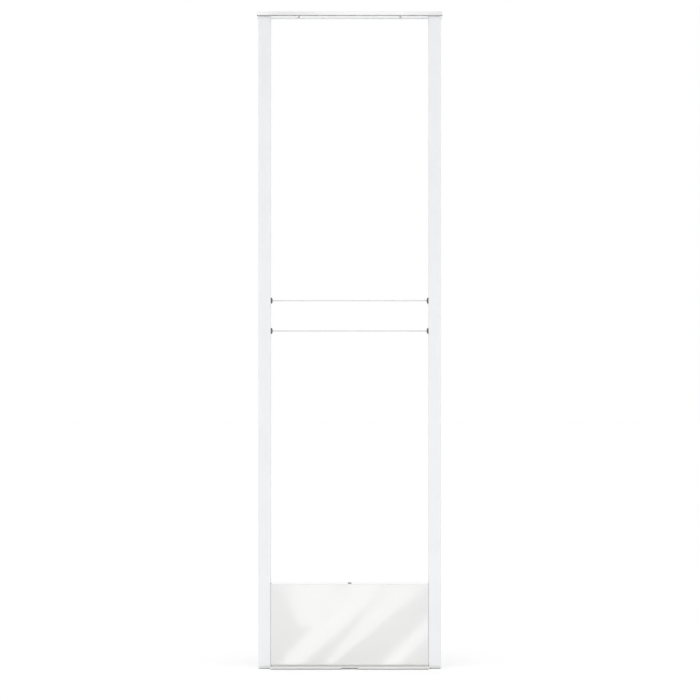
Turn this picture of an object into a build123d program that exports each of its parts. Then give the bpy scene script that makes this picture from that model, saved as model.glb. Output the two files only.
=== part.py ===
"""Anti-theft gate: an open antenna frame for a shop entrance, with its electronics in the base.

Millimetres. X runs across the gate, Y through it with the front at -Y, and Z up from the floor.
The origin is on the floor under the middle of the gate. Each sub-part is written to parts/NODE.step.
"""

import os
from math import cos, pi

from build123d import *

# Whole gate
gate_width = 445.0  # over the outer faces of the two posts
gate_height = 1600.0  # floor to the top of the cap
fit_gap = 0.1  # radial clearance of pieces that seat in one another
run_gap = 0.3  # clearance of pieces that move past one another
small_sides = 6  # flats on small hidden fasteners and their holes
part_sides = 24  # flats on the round parts of the board
wire_sides = 4  # flats on the wires, most of whose length lies hidden in the posts

# Posts: hollow aluminium extrusions
post_width = 30.0
post_depth = 50.0
post_wall = 2.0
post_corner = 2.5
port_bore = 1.8  # radius of the screw ports inside the extrusion
port_wall = 1.8
port_slit = 1.2
post_screw_r = 1.7
post_head_r = 3.2
post_head = 2.4
post_screw_length = 24.0
wire_exit_z = 60.0  # middle of the wire outlet into the base

# Base plate
plate_thick = 6.0
plate_toe = 18.0  # how far the middle of the plate stands out past the posts
plate_corner = 2.0
plate_edge = 0.8  # chamfer along the top edge
seal_height = 1.3
seal_width = 1.0  # from the plate's edge to the inside of the seal
seal_inset = 0.3  # the seal stands this far back from the plate's edge
anchor_hole_r = 4.5
anchor_pitch_x = 330.0
anchor_pitch_y = 20.0
slot_width = 41.0  # cable tunnel under the front edge
slot_height = 4.5
slot_end = 6.0  # distance of the tunnel's inner end from the mid-plane
slot_mouth = 14.0  # length of the tunnel that opens up into the base

# Top rail and cap
rail_overhang = 3.5  # past the posts, all round
rail_web = 2.5
rail_leg = 2.5
rail_leg_drop = 2.5
cap_height = 9.7
cap_wall = 1.5
cap_step = 0.5  # the cap's seat stands this far above the underside of the web
cap_corner = 2.0
cap_bevel = 1.2
cap_screw_x = 124.0
cap_screw_r = 1.6
cap_screw_head_r = 3.6
cap_screw_head = 3.2
cap_screw_slope = 1.6
cap_boss_r = 3.6
cap_rib_pitch = 44.0
cap_rib = 1.2
rail_head_r = 3.6
rail_head = 2.2
rail_screw_length = 20.0

# Crossbars and their grommets
crossbar_upper_z = 896.0
crossbar_lower_z = 822.0
crossbar_r = 1.5
crossbar_reach = 2.0  # past the inside of the post wall
grommet_r = 7.5
grommet_stand = 4.3
grommet_rim = 1.0
grommet_shoulder_r = 6.0
grommet_shoulder = 3.0
grommet_nose_r = 2.7
grommet_neck_r = 4.9
grommet_lip_r = 6.2
grommet_lip = 1.5

# Antenna loops and leads
wire_r = 0.8
lead_r = 1.0
wire_pitch = 4.5  # between the wires that run side by side in a post
wire_bend = 9.0
exit_pitch = 4.0  # between the wires where they leave a post
spacer_heights = (420.0, 1240.0)
spacer_thick = 8.0
spacer_depth = 28.0
bush_flange = 1.5
bush_margin = 2.6
bush_lip = 1.6
bush_corner = 1.2

# Covers of the base
cover_top = 206.0
cover_bottom = 9.0
cover_wall = 3.0
cover_side_gap = 0.4
cover_recess = 0.5  # the cover's face lies this far behind the posts' faces
cover_parting = 0.8  # between the front and rear covers
cover_corner = 2.0
cover_bevel = 1.2
cover_rib = 1.6
cover_rib_height = 2.2
cover_rib_pitch = 52.0
cover_rib_rows = 3
cover_boss_r = 4.0
cover_peg_r = 2.0
cover_peg_reach = 3.0
cover_peg_z = 30.0
cover_peg_left = 170.0
cover_peg_right = 150.0
notch_height = 24.0
notch_depth = 7.0

# Cover locks: a quarter turn frees the cover
lock_setback = 7.5
lock_head_r = 4.5
lock_head = 1.3
lock_stud_r = 2.0
lock_collar_r = 3.6
lock_collar = 1.3
lock_cam_reach = 7.0
lock_cam = 2.0
lock_cam_width = 3.6
lock_bevel = 0.9
lock_slot = 0.9
lock_cam_gap = 0.7  # between the cam and the bracket above it

# Sills that locate the covers' lower edges
sill_thick = 1.6
sill_upstand = 7.0
sill_setback = 0.5
sill_gap = 0.6

# Mounting plate and latch brackets
sheet = 1.5
mount_side_gap = 6.5
mount_drop = 4.5  # from the top of the latch brackets to the top of the plate
mount_corner = 6.0
tab_width = 30.0
tab_length = 16.0
tab_front_x = 110.0
tab_rear_x = 60.0
tab_screw_y = 9.0
tab_screw_r = 1.7
tab_head_r = 3.4
tab_head = 2.2
bend_r = 1.5
bracket_sheet = 1.6
bracket_width = 30.0
bracket_leg = 24.0
bracket_drop = 0.9  # below the collar of the lock
bracket_slot_r = 2.6
bracket_rivet_x = 9.0
bracket_rivet_drop = 13.5
rivet_r = 1.6
rivet_head_r = 2.9
rivet_head = 0.9

# Control board
board_width = 220.0
board_height = 120.0
board_z = 40.0
board_thick = 1.6
board_corner = 1.5
board_standoff = 4.3
standoff_r = 3.0
standoff_margin_x = 8.0
standoff_margin_z = 12.0
board_screw_r = 1.4
board_screw_length = 4.5
board_head_r = 2.7
board_head = 1.8
terminal_depth = 12.0
terminal_height = 10.0
terminal_entry = 6.0
terminal_wall = 1.0

# Adjusters on the board
dial_first_x = 44.0
dial_pitch = 16.0
dial_drop = 17.0  # from the top edge of the board
dial_body = 9.5
dial_body_height = 5.0
dial_r = 2.7
dial_thick = 1.5
dial_recess = 1.2
dial_slot = 0.8
dial_slot_depth = 0.6
switch_x = 12.0
switch_drop = 18.0
switch_pitch = 2.54
switch_ways = 4
switch_body_height = 9.6
switch_body_thick = 4.5
lever_width = 0.9
lever_height = 1.6
lever_travel = 2.8
lever_stand = 0.9
well_depth = 2.0
trimmer_x = -40.0
trimmer_rise = 22.0  # from the bottom edge of the board
trimmer_base_r = 5.5
trimmer_height = 5.0
trimmer_r = 3.2

# Power module and its lead
module_x = -55.0
module_z = 58.0
module_width = 95.0
module_height = 52.0
module_depth = 16.0
module_ear = 9.0
lead_hole_r = 3.2
lead_bend = 8.0
power_lead_r = 1.6
power_terminal_x = -80.0
lead_rise = 18.0  # of the lead above the board

# Other pieces on the board: across the board, up from its bottom edge, then their sizes
chip_places = ((-8.0, 55.0, 20.0, 20.0, 1.6), (24.0, 56.0, 12.0, 16.0, 2.0), (-42.0, 62.0, 10.0, 14.0, 2.0))
capacitor_places = ((56.0, 22.0, 5.0, 11.5), (70.0, 22.0, 5.0, 11.5), (40.0, 34.0, 4.0, 9.0))
coil_places = ((-80.0, 50.0), (-80.0, 76.0))
coil_r = 10.0
coil_eye_r = 4.5
coil_thick = 7.0
cooler_x = 78.0
cooler_rise = 52.0
cooler_width = 38.0
cooler_height = 30.0
cooler_base = 2.5
cooler_reach = 11.0
cooler_fin = 1.3
cooler_fins = 7
sounder_x = -62.0
sounder_drop = 22.0
sounder_r = 12.0
sounder_height = 9.0
lamp_places = (-30.0, -22.0, -14.0)
lamp_drop = 12.0
lamp_r = 1.5
lamp_height = 4.0

# Light strip under the cap
strip_inset = 34.0
strip_width = 8.0
strip_thick = 1.6
strip_y = 8.0
light_pitch = 26.0
light_side = 3.5
light_height = 1.4
wire_run_y = -8.0
wire_run_rise = 3.2  # of the antenna wire above the rail

# Derived levels and faces
half_gate = gate_width / 2
inner_face = half_gate - post_width  # of a post, towards the opening
post_centre = half_gate - post_width / 2
clear_gap = 2 * inner_face
half_depth = post_depth / 2
toe_y = half_depth + plate_toe
cap_seat_z = gate_height - cap_height
web_bottom_z = cap_seat_z - cap_step
web_top_z = web_bottom_z + rail_web
rail_length = gate_width + 2 * rail_overhang
rail_half_depth = half_depth + rail_overhang
port_y = half_depth - post_wall - port_bore - port_wall / 2
lane_inner = post_centre - wire_pitch / 3
lane_middle = lane_inner + wire_pitch
lane_outer = lane_middle + wire_pitch
wire_slot_x = (lane_middle + lane_outer) / 2 - 1.0
wire_slot_length = wire_pitch + 9.5
wire_slot_width = 7.0
bush_height = 2 * exit_pitch + 2 * lead_r + bush_margin
bush_width = 2 * lead_r + bush_margin
exit_high = wire_exit_z + exit_pitch
exit_low = wire_exit_z - exit_pitch
cover_width = clear_gap - 2 * cover_side_gap
cover_face_y = half_depth - cover_recess
cover_inside_y = cover_face_y - cover_wall
cover_back_y = cover_parting / 2
cover_ceiling = cover_top - cover_wall
lock_y = cover_face_y - lock_setback
mount_face = sheet / 2
board_back_y = mount_face + board_standoff
board_face_y = board_back_y + board_thick
board_top = board_z + board_height
terminal_wire_y = board_face_y + terminal_height / 2
wire_run_z = web_top_z + wire_run_rise
terminal_top = wire_exit_z + 1.5 * exit_pitch + terminal_wall
terminal_low = wire_exit_z - 1.5 * exit_pitch - terminal_wall
mount_half_width = inner_face - mount_side_gap
bracket_top = cover_ceiling - run_gap - lock_collar - bracket_drop
bracket_rivet_z = bracket_top - bracket_rivet_drop
mount_top = bracket_top - mount_drop
lead_hole_z = board_top + lead_rise
dial_z = board_top - dial_drop
dial_places = [dial_first_x + step * dial_pitch for step in range(3)]
switch_z = board_top - switch_drop
trimmer_z = board_z + trimmer_rise
strip_half = rail_length / 2 - strip_inset


def block(low, high):
    """A box between two opposite corners."""
    size = [b - a for a, b in zip(low, high)]
    centre = [(a + b) / 2 for a, b in zip(low, high)]
    return Pos(*centre) * Box(*size)


def rod(centre, radius, length, axis="Z", sides=0):
    """A round or many-sided bar that starts at centre and runs along an axis for a signed length."""
    turn = {"X": Rot(0, 90, 0), "Y": Rot(-90, 0, 0), "Z": Rot(0, 0, 0)}[axis]
    section = RegularPolygon(radius, sides) if sides else Circle(radius)
    solid = extrude(section, abs(length))
    if length < 0:
        solid = Rot(180, 0, 0) * solid
    return Pos(*centre) * turn * solid


def pin(centre, radius, length, axis="Z"):
    """A small hidden bar, or the hole for one."""
    return rod(centre, radius, length, axis, small_sides)


def wire_hole(centre, radius, length, axis="Z"):
    """The hole for a wire or a bar of this radius, which clears it on every flat."""
    return pin(centre, (radius + fit_gap) / cos(pi / small_sides), length, axis)


def screw(centre, head_r, head, shank_r, length, axis="Z"):
    """A screw whose head stands on centre and whose shank runs the other way; head may be negative."""
    back = -length if head > 0 else length
    return pin(centre, head_r, head, axis) + pin(centre, shank_r, back, axis)


def tube_along(points, radii, radius):
    """A round wire along straight runs joined by tangent arcs."""
    path = FilletPolyline(*points, radius=radii)
    section = Plane(path @ 0, z_dir=path % 0) * RegularPolygon(radius, wire_sides)
    return sweep(section, path=path)


def turned(shape):
    """The same piece on the other side of the gate."""
    return Rot(0, 0, 180) * shape


def save(name, shape):
    """Writes one sub-part, a single solid or a group of separate ones."""
    export_step(shape, os.path.join("parts", name + ".step"))


def group(solids):
    """Identical pieces that share one file."""
    return Compound(children=[piece for solid in solids for piece in solid.solids()])


def plate_outline(inset):
    """Outline of the base plate, with a toe front and rear, drawn this far inside its edge."""
    posts = Rectangle(gate_width - 2 * inset, post_depth - 2 * inset)
    toes = Rectangle(clear_gap - 2 * inset, 2 * (toe_y - inset))
    cut = plate_corner - inset / 2
    return chamfer(posts.vertices(), cut) + chamfer(toes.vertices(), cut)


def cable_tunnel():
    """Room for the cable under the plate's front edge, and its way up into the base."""
    tunnel_end = -slot_end
    half_slot = slot_width / 2
    tunnel = block((-half_slot, -toe_y - 1, -1), (half_slot, tunnel_end, slot_height))
    mouth_start = tunnel_end - slot_mouth
    return tunnel + block((-half_slot, mouth_start, -1), (half_slot, tunnel_end, plate_thick + 1))


def base_seal():
    """Dark rubber strips in the step under the base plate's edge, one along each side."""
    toe_half = clear_gap / 2
    end_half = gate_width / 2
    toe_end = toe_y - plate_corner
    reach = toe_half - plate_corner
    strips = [((-reach, toe_y - seal_width), (reach, toe_y - seal_inset))]
    for side in (-1, 1):
        near = side * slot_width / 2
        far = side * reach
        strips.append(((near, -toe_y + seal_inset), (far, -toe_y + seal_width)))
        outer = side * (end_half - seal_inset)
        inner = side * (end_half - seal_width)
        strips.append(((outer, plate_corner - half_depth), (inner, half_depth - plate_corner)))
        for rear in (-1, 1):
            outer = side * (toe_half - seal_inset)
            inner = side * (toe_half - seal_width)
            strips.append(((outer, rear * (half_depth - seal_width)), (inner, rear * toe_end)))
            outer = rear * (half_depth - seal_inset)
            inner = rear * (half_depth - seal_width)
            strips.append(((side * toe_half, outer), (side * (end_half - plate_corner), inner)))
    return group([strip(start, end) for start, end in strips])


def strip(start, end):
    """One straight rubber strip between two corners seen from above."""
    low = (min(start[0], end[0]), min(start[1], end[1]), 0)
    high = (max(start[0], end[0]), max(start[1], end[1]), seal_height)
    return block(low, high)


def base_plate():
    """Flat plate with a cable tunnel, and a step for the seal strips under its edge."""
    plate = Pos(0, 0, seal_height) * extrude(plate_outline(0), plate_thick - seal_height)
    plate = chamfer(plate.faces().sort_by(Axis.Z)[-1].edges(), plate_edge)
    plate += extrude(plate_outline(seal_width), seal_height)
    plate -= cable_tunnel()
    for x in (-anchor_pitch_x / 2, anchor_pitch_x / 2):
        for y in (-anchor_pitch_y / 2, anchor_pitch_y / 2):
            plate -= rod((x, y, -1), anchor_hole_r, plate_thick + 2)
    for x, y in port_places():
        plate -= pin((x, y, -1), post_screw_r + fit_gap, plate_thick + 2)
        plate -= pin((x, y, -1), post_head_r + fit_gap, 1 + post_head + run_gap)
    for x, y in tab_screw_places():
        plate -= pin((x, y, -1), tab_screw_r + fit_gap, plate_thick + 2)
    return plate


def port_places():
    """The screw ports of both posts, as seen from above."""
    return [(x, y) for x in (-post_centre, post_centre) for y in (-port_y, port_y)]


def tab_screw_places():
    """Screws that hold the mounting plate's tabs to the base plate."""
    front = [(x, -tab_screw_y) for x in (-tab_front_x, tab_front_x)]
    rear = [(x, tab_screw_y) for x in (-tab_rear_x, tab_rear_x)]
    return front + rear


def post_left():
    """Hollow extrusion with two screw ports, drilled for the crossbars and the wires."""
    shell = RectangleRounded(post_width, post_depth, post_corner)
    shell -= Rectangle(post_width - 2 * post_wall, post_depth - 2 * post_wall)
    room = Rectangle(post_width - post_wall, post_depth - post_wall)
    for side in (-1, 1):
        port = Pos(0, side * port_y) * RegularPolygon(port_bore + port_wall, small_sides)
        shell += port & room
        shell -= Pos(0, side * port_y) * RegularPolygon(port_bore, small_sides)
        slit_y = side * (port_y - port_bore - port_wall / 2)
        shell -= Pos(0, slit_y) * Rectangle(port_slit, port_wall * 2)
    height = web_bottom_z - plate_thick
    post = Pos(-post_centre, 0, plate_thick) * extrude(shell, height)
    for z in (crossbar_upper_z, crossbar_lower_z):
        post -= pin((-inner_face - post_wall - 1, 0, z), grommet_neck_r + fit_gap, post_wall + 2, "X")
    outlet = bush_section(fit_gap)
    post -= Pos(-inner_face - post_wall - 1, 0, wire_exit_z) * extrude(outlet, post_wall + 2)
    return post


def bush_section(grow):
    """Upright outline of the wire outlet, facing along X."""
    outline = Rectangle(bush_width + 2 * grow, bush_height + 2 * grow)
    outline = chamfer(outline.vertices(), bush_corner)
    return Plane(origin=(0, 0, 0), x_dir=(0, 1, 0), z_dir=(1, 0, 0)) * outline


def wire_bush_left():
    """Rubber bush in the wire outlet, with a hole for each wire."""
    outside = inner_face
    inside = inner_face + post_wall
    flange = Pos(-outside, 0, wire_exit_z) * extrude(bush_section(bush_lip), bush_flange)
    neck = Pos(-inside, 0, wire_exit_z) * extrude(bush_section(0), post_wall)
    lip = Pos(-inside - bush_flange, 0, wire_exit_z) * extrude(bush_section(bush_lip / 2), bush_flange)
    bush = flange + neck + lip
    start = -inside - bush_flange - 1
    for z in (exit_low, wire_exit_z, exit_high):
        bush -= wire_hole((start, 0, z), lead_r, -outside + bush_flange + 1 - start, "X")
    return bush


def post_base_screws():
    """Screws up through the base plate into the posts, with their heads sunk in it."""
    low = run_gap
    screws = []
    for x, y in port_places():
        head = pin((x, y, low), post_head_r, post_head)
        screws.append(head + pin((x, y, low), post_screw_r, post_screw_length))
    return group(screws)


def rail_screws():
    """Screws down through the rail into the posts."""
    return group(
        screw((x, y, web_top_z), rail_head_r, rail_head, post_screw_r, rail_screw_length)
        for x, y in port_places()
    )


def top_rail():
    """Extruded channel across both posts, with a seat for the cap along each side."""
    half_web = rail_half_depth - cap_wall - fit_gap
    leg_inside = rail_half_depth - rail_leg
    leg_low = web_bottom_z - rail_leg_drop
    right = [
        (0, web_top_z),
        (half_web, web_top_z),
        (half_web, cap_seat_z),
        (rail_half_depth, cap_seat_z),
        (rail_half_depth, leg_low),
        (leg_inside, leg_low),
        (leg_inside, web_bottom_z),
        (0, web_bottom_z),
    ]
    left = [(-y, z) for y, z in reversed(right[1:-1])]
    profile = make_face(Polyline(*(right + left), close=True))
    profile = Plane(origin=(-rail_length / 2, 0, 0), x_dir=(0, 1, 0), z_dir=(1, 0, 0)) * profile
    rail = extrude(profile, rail_length)
    for x, y in port_places():
        rail -= pin((x, y, web_bottom_z - 1), post_screw_r + fit_gap, rail_web + 2)
    for side in (-1, 1):
        wires = chamfer(Rectangle(wire_slot_length, wire_slot_width).vertices(), 2.0)
        rail -= Pos(side * wire_slot_x, 0, web_bottom_z - 1) * extrude(wires, rail_web + 2)
        rail -= pin((side * cap_screw_x, 0, web_bottom_z - 1), cap_screw_r + fit_gap, rail_web + 2)
    return rail


def top_cap():
    """Moulded cap: a shallow shell with rounded edges, screw bosses and cross ribs."""
    half_length = rail_length / 2
    shell = block((-half_length, -rail_half_depth, cap_seat_z), (half_length, rail_half_depth, gate_height))
    upright = shell.edges().filter_by(Axis.Z)
    shell = fillet(upright, cap_corner)
    shell = chamfer(shell.faces().sort_by(Axis.Z)[-1].edges(), cap_bevel)
    ceiling = gate_height - cap_wall
    hollow_y = rail_half_depth - cap_wall
    hollow_x = half_length - cap_wall
    shell -= block((-hollow_x, -hollow_y, cap_seat_z - 1), (hollow_x, hollow_y, ceiling))
    shell -= block((-half_length - 1, -hollow_y, cap_seat_z - 1), (half_length + 1, hollow_y, web_top_z))
    ribs_each_side = int((half_length - cap_rib_pitch / 2) // cap_rib_pitch)
    for step in range(-ribs_each_side, ribs_each_side + 1):
        x = step * cap_rib_pitch
        left = x - cap_rib / 2
        shell += block((left, -hollow_y, ceiling - cap_rib), (left + cap_rib, hollow_y, ceiling))
    for x in (-cap_screw_x, cap_screw_x):
        shell += pin((x, 0, web_top_z), cap_boss_r, ceiling - web_top_z)
        shell -= pin((x, 0, web_top_z - 1), cap_screw_r + fit_gap, ceiling - web_top_z)
    return shell


def cap_screws():
    """Screws up through the rail into the cap; their cone heads hang under the rail."""
    low = web_bottom_z - cap_screw_head
    screws = []
    for x in (-cap_screw_x, cap_screw_x):
        head = rod((x, 0, low), cap_screw_head_r, cap_screw_head, sides=part_sides)
        head = chamfer(head.faces().sort_by(Axis.Z)[-1].edges(), cap_screw_slope)
        shank = pin((x, 0, web_bottom_z), cap_screw_r, gate_height - cap_wall - 2 - web_bottom_z)
        screws.append(head + shank)
    return group(screws)


def crossbar(z):
    """Thin tube across the opening, which carries one antenna wire."""
    half = inner_face + post_wall + crossbar_reach
    tube = rod((-half, 0, z), crossbar_r, 2 * half, "X")
    return tube - wire_hole((-half - 1, 0, z), wire_r, 2 * half + 2, "X")


def grommet(z):
    """Domed rubber grommet that grips a crossbar in the left post's inner wall."""
    rings = [(grommet_r, 0), (grommet_r, grommet_rim)]
    rings += [(grommet_shoulder_r, grommet_shoulder), (grommet_nose_r, grommet_stand)]
    sections = [Pos(0, 0, level) * RegularPolygon(radius, part_sides) for radius, level in rings]
    piece = loft(sections, ruled=True)
    piece += pin((0, 0, 0), grommet_neck_r, -post_wall)
    piece += pin((0, 0, -post_wall), grommet_lip_r, -grommet_lip)
    low = -post_wall - grommet_lip
    piece -= wire_hole((0, 0, low - 1), crossbar_r, grommet_stand - low + 2)
    return Pos(-inner_face, 0, z) * Rot(0, 90, 0) * piece


def crossbar_grommets():
    """One grommet at each end of each crossbar."""
    left = [grommet(z) for z in (crossbar_upper_z, crossbar_lower_z)]
    return group(left + [turned(piece) for piece in left])


def wire_spacers():
    """Plastic combs that hold the wires apart inside the posts."""
    half_width = post_width / 2 - post_wall - fit_gap
    slot = lead_r + fit_gap
    spacers = []
    for z in spacer_heights:
        low = (-post_centre - half_width, -spacer_depth / 2, z)
        comb = block(low, (-post_centre + half_width, spacer_depth / 2, z + spacer_thick))
        for x in (lane_inner, lane_middle, lane_outer):
            comb -= block((-x - slot, -spacer_depth, z - 1), (-x + slot, slot, z + spacer_thick + 1))
        spacers.append(comb)
        spacers.append(turned(comb))
    return group(spacers)


def to_terminal(side, z):
    """Route of a wire from a post's outlet to the terminal block on the same side."""
    block_x = board_width / 2
    straight = inner_face - 12
    return [
        (side * straight, 0, z),
        (side * (block_x + 16), -terminal_wire_y, z),
        (side * (block_x - terminal_entry + 1), -terminal_wire_y, z),
    ]


def lower_loop_wire():
    """Antenna wire round the lower half: up both posts and through the lower crossbar."""
    x = lane_inner
    left = [(-x, 0, exit_high), (-x, 0, crossbar_lower_z)]
    right = [(x, 0, crossbar_lower_z), (x, 0, exit_high)]
    points = to_terminal(-1, exit_high)[::-1] + left + right + to_terminal(1, exit_high)
    radii = [60, 60] + [wire_bend] * 4 + [60, 60]
    return tube_along(points, radii, wire_r)


def upper_loop_wire():
    """Antenna wire round the upper half: under the cap and back through the upper crossbar."""
    x_up = lane_outer
    x_down = lane_middle
    over = lane_middle - 12
    points = to_terminal(-1, exit_low)[::-1]
    points += [(-x_up, 0, exit_low), (-x_up, 0, wire_run_z)]
    points += [(-over, wire_run_y, wire_run_z), (over, wire_run_y, wire_run_z)]
    points += [(x_down, 0, wire_run_z), (x_down, 0, crossbar_upper_z)]
    points += [(-x_down, 0, crossbar_upper_z), (-x_down, 0, wire_exit_z)]
    points += to_terminal(-1, wire_exit_z)
    radii = [60, 60, wire_bend, 8, 12, 12, 6] + [wire_bend] * 3 + [60, 60]
    return tube_along(points, radii, wire_r)


def light_lead():
    """Lead from the board up the right post to the light strip under the cap."""
    x = lane_outer
    level = web_top_z + strip_thick + lead_r + fit_gap
    points = [(strip_half - 6, strip_y, level), (strip_half + 2, strip_y, level)]
    points += [(x, 0, level), (x, 0, exit_low)]
    points += to_terminal(1, exit_low)
    radii = [12, 6, wire_bend, 60, 60]
    return tube_along(points, radii, lead_r)


def light_strip():
    """Narrow circuit board on the rail, under the cap."""
    near = strip_y - strip_width / 2
    far = strip_y + strip_width / 2
    return block((-strip_half, near, web_top_z), (strip_half, far, web_top_z + strip_thick))


def alarm_lights():
    """Row of light sources along the strip."""
    low = web_top_z + strip_thick
    half = light_side / 2
    each_side = int((strip_half - 2 * light_side) // light_pitch)
    lamps = []
    for step in range(-each_side, each_side + 1):
        x = step * light_pitch
        lamps.append(block((x - half, strip_y - half, low), (x + half, strip_y + half, low + light_height)))
    return group(lamps)


def cover_sill():
    """Angle strip along the front of the base plate that locates the cover's lower edge."""
    upstand_y = cover_inside_y - sill_gap
    front = -(cover_face_y - sill_setback)
    back = -(upstand_y - sill_thick)
    foot_half = cover_width / 2 - sill_gap
    wall_half = cover_width / 2 - cover_wall - sill_gap
    foot = block((-foot_half, front, plate_thick), (foot_half, back, plate_thick + sill_thick))
    wall = block((-wall_half, -upstand_y, plate_thick), (wall_half, back, plate_thick + sill_upstand))
    return foot + wall


def bent_tab(x, side):
    """Foot of the mounting plate, bent towards one side."""
    z = plate_thick
    inner = side * (mount_face + bend_r)
    outline = [
        (side * -mount_face, z + sheet + bend_r),
        (side * -mount_face, z),
        (side * tab_length, z),
        (side * tab_length, z + sheet),
        (inner, z + sheet),
        (side * mount_face, z + sheet + bend_r),
    ]
    face = make_face(Polyline(*outline, close=True))
    face = Plane(origin=(x - tab_width / 2, 0, 0), x_dir=(0, 1, 0), z_dir=(1, 0, 0)) * face
    return extrude(face, tab_width)


def mounting_plate():
    """Upright sheet between the posts that carries the electronics."""
    low = plate_thick + sheet + bend_r
    height = mount_top - low
    outline = chamfer(Rectangle(2 * mount_half_width, height).vertices(), mount_corner)
    for side in (-1, 1):
        notch = Rectangle(2 * (bush_height + 4), bush_height + 8)
        outline -= Pos(side * mount_half_width, wire_exit_z - low - height / 2) * notch
    upright = Plane(origin=(0, mount_face, low + height / 2), x_dir=(1, 0, 0), z_dir=(0, -1, 0))
    plate = extrude(upright * outline, sheet)
    for x in (-tab_front_x, tab_front_x):
        plate += bent_tab(x, -1)
    for x in (-tab_rear_x, tab_rear_x):
        plate += bent_tab(x, 1)
    for x, y in tab_screw_places():
        plate -= pin((x, y, plate_thick - 1), tab_screw_r + fit_gap, sheet + 2)
    for x in (-cover_peg_left, cover_peg_right, cover_peg_left, -cover_peg_right):
        plate -= pin((x, -mount_face - 1, cover_peg_z), cover_peg_r + run_gap, sheet + 2, "Y")
    for x in (-bracket_rivet_x, bracket_rivet_x):
        plate -= pin((x, -mount_face - 1, bracket_rivet_z), rivet_r + fit_gap, sheet + 2, "Y")
    plate -= pin((power_terminal_x, -mount_face - 1, lead_hole_z), lead_hole_r + fit_gap, sheet + 2, "Y")
    return plate


def mount_screws():
    """Screws through the tabs into the base plate."""
    level = plate_thick + sheet
    length = level - run_gap
    return group(
        screw((x, y, level), tab_head_r, tab_head, tab_screw_r, length) for x, y in tab_screw_places()
    )


def latch_bracket():
    """Bent bracket with an open slot that the front cover's lock slides into."""
    half = bracket_width / 2
    flange_low = bracket_top - bracket_sheet
    reach = cover_inside_y - sill_gap
    leg_low = bracket_top - bracket_leg
    leg = block((-half, -mount_face - bracket_sheet, leg_low), (half, -mount_face, bracket_top))
    flange = block((-half, -reach, flange_low), (half, -mount_face, bracket_top))
    bracket = leg + flange
    corners = bracket.edges().filter_by(Axis.Z).group_by(Axis.Y)[0]
    bracket = chamfer(corners, 3.0)
    bracket -= rod((0, -lock_y, flange_low - 1), bracket_slot_r, bracket_sheet + 2)
    slot = block((-bracket_slot_r, -reach - 1, flange_low - 1), (bracket_slot_r, -lock_y, bracket_top + 1))
    bracket -= slot
    for x in (-bracket_rivet_x, bracket_rivet_x):
        start = -mount_face - bracket_sheet - 1
        bracket -= pin((x, start, bracket_rivet_z), rivet_r + fit_gap, bracket_sheet + 2, "Y")
    return bracket


def bracket_rivets():
    """Rivets through both latch brackets and the mounting plate between them."""
    face = mount_face + bracket_sheet
    rivets = []
    for x in (-bracket_rivet_x, bracket_rivet_x):
        rivet = pin((x, -face, bracket_rivet_z), rivet_r, 2 * face, "Y")
        for side in (-1, 1):
            rivet += pin((x, side * face, bracket_rivet_z), rivet_head_r, side * rivet_head, "Y")
        rivets.append(rivet)
    return group(rivets)


def front_cover():
    """Moulded front cover: a shell with inner ribs, locating pegs and wire notches."""
    half = cover_width / 2
    shell = block((-half, -cover_face_y, cover_bottom), (half, -cover_back_y, cover_top))
    shell = fillet(shell.faces().sort_by(Axis.Z)[-1].edges().filter_by(Axis.Y), cover_corner)
    face_edges = shell.faces().sort_by(Axis.Y)[0].edges()
    shell = chamfer(face_edges.sort_by(Axis.Z)[1:], cover_bevel)
    room = half - cover_wall
    hollow = block((-room, -cover_inside_y, cover_bottom - 1), (room, 1, cover_ceiling))
    shell -= hollow
    rib_y = -cover_inside_y + cover_rib_height
    rib_low = plate_thick + sill_upstand + sill_gap
    columns = int(room // cover_rib_pitch)
    for step in range(-columns, columns):
        left = (step + 0.5) * cover_rib_pitch - cover_rib / 2
        shell += block((left, -cover_inside_y - 0.1, rib_low), (left + cover_rib, rib_y, cover_ceiling))
    row_pitch = (cover_ceiling - rib_low) / cover_rib_rows
    for step in range(cover_rib_rows):
        z = rib_low + step * row_pitch
        shell += block((-room - 0.1, -cover_inside_y - 0.1, z), (room + 0.1, rib_y, z + cover_rib))
    shell = shell - block((-room, -cover_back_y, cover_bottom), (room, 1, cover_ceiling))
    for x in (-cover_peg_left, cover_peg_right):
        start = -cover_inside_y - 0.1
        boss_end = -mount_face - run_gap
        shell += pin((x, start, cover_peg_z), cover_boss_r, boss_end - start, "Y")
        shell += pin((x, start, cover_peg_z), cover_peg_r, mount_face + cover_peg_reach - start, "Y")
    for side in (-1, 1):
        low = wire_exit_z - notch_height / 2
        cut = block((room - 1, -notch_depth, low), (half + 1, 1, low + notch_height))
        shell -= cut if side > 0 else mirror(cut, Plane.YZ)
    shell -= rod((0, -lock_y, cover_ceiling - 1), lock_stud_r + fit_gap, cover_wall + 2, sides=part_sides)
    return shell


def front_cover_lock():
    """Quarter-turn stud with a bevelled head, a collar that keeps it in the cover, and a cam."""
    head_low = cover_top + run_gap
    head_top = head_low + lock_head
    collar_top = cover_ceiling - run_gap
    cam_top = bracket_top - bracket_sheet - lock_cam_gap
    cam_low = cam_top - lock_cam
    lock = rod((0, -lock_y, head_low), lock_head_r, lock_head, sides=part_sides)
    lock = chamfer(lock.faces().sort_by(Axis.Z)[-1].edges(), lock_bevel)
    half = lock_slot / 2
    slot_low = head_low + lock_head / 2
    lock -= block((-half, -lock_y - lock_head_r, slot_low), (half, -lock_y + lock_head_r, head_top + 1))
    lock += rod((0, -lock_y, cam_low), lock_stud_r, head_low - cam_low, sides=part_sides)
    lock += rod((0, -lock_y, collar_top), lock_collar_r, -lock_collar, sides=part_sides)
    near = -lock_y - lock_cam_width / 2
    cam = block((0, near, cam_low), (lock_cam_reach, near + lock_cam_width, cam_top))
    cam = chamfer(cam.edges().filter_by(Axis.Z).group_by(Axis.X)[-1], lock_cam_width / 4)
    return lock + cam


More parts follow.
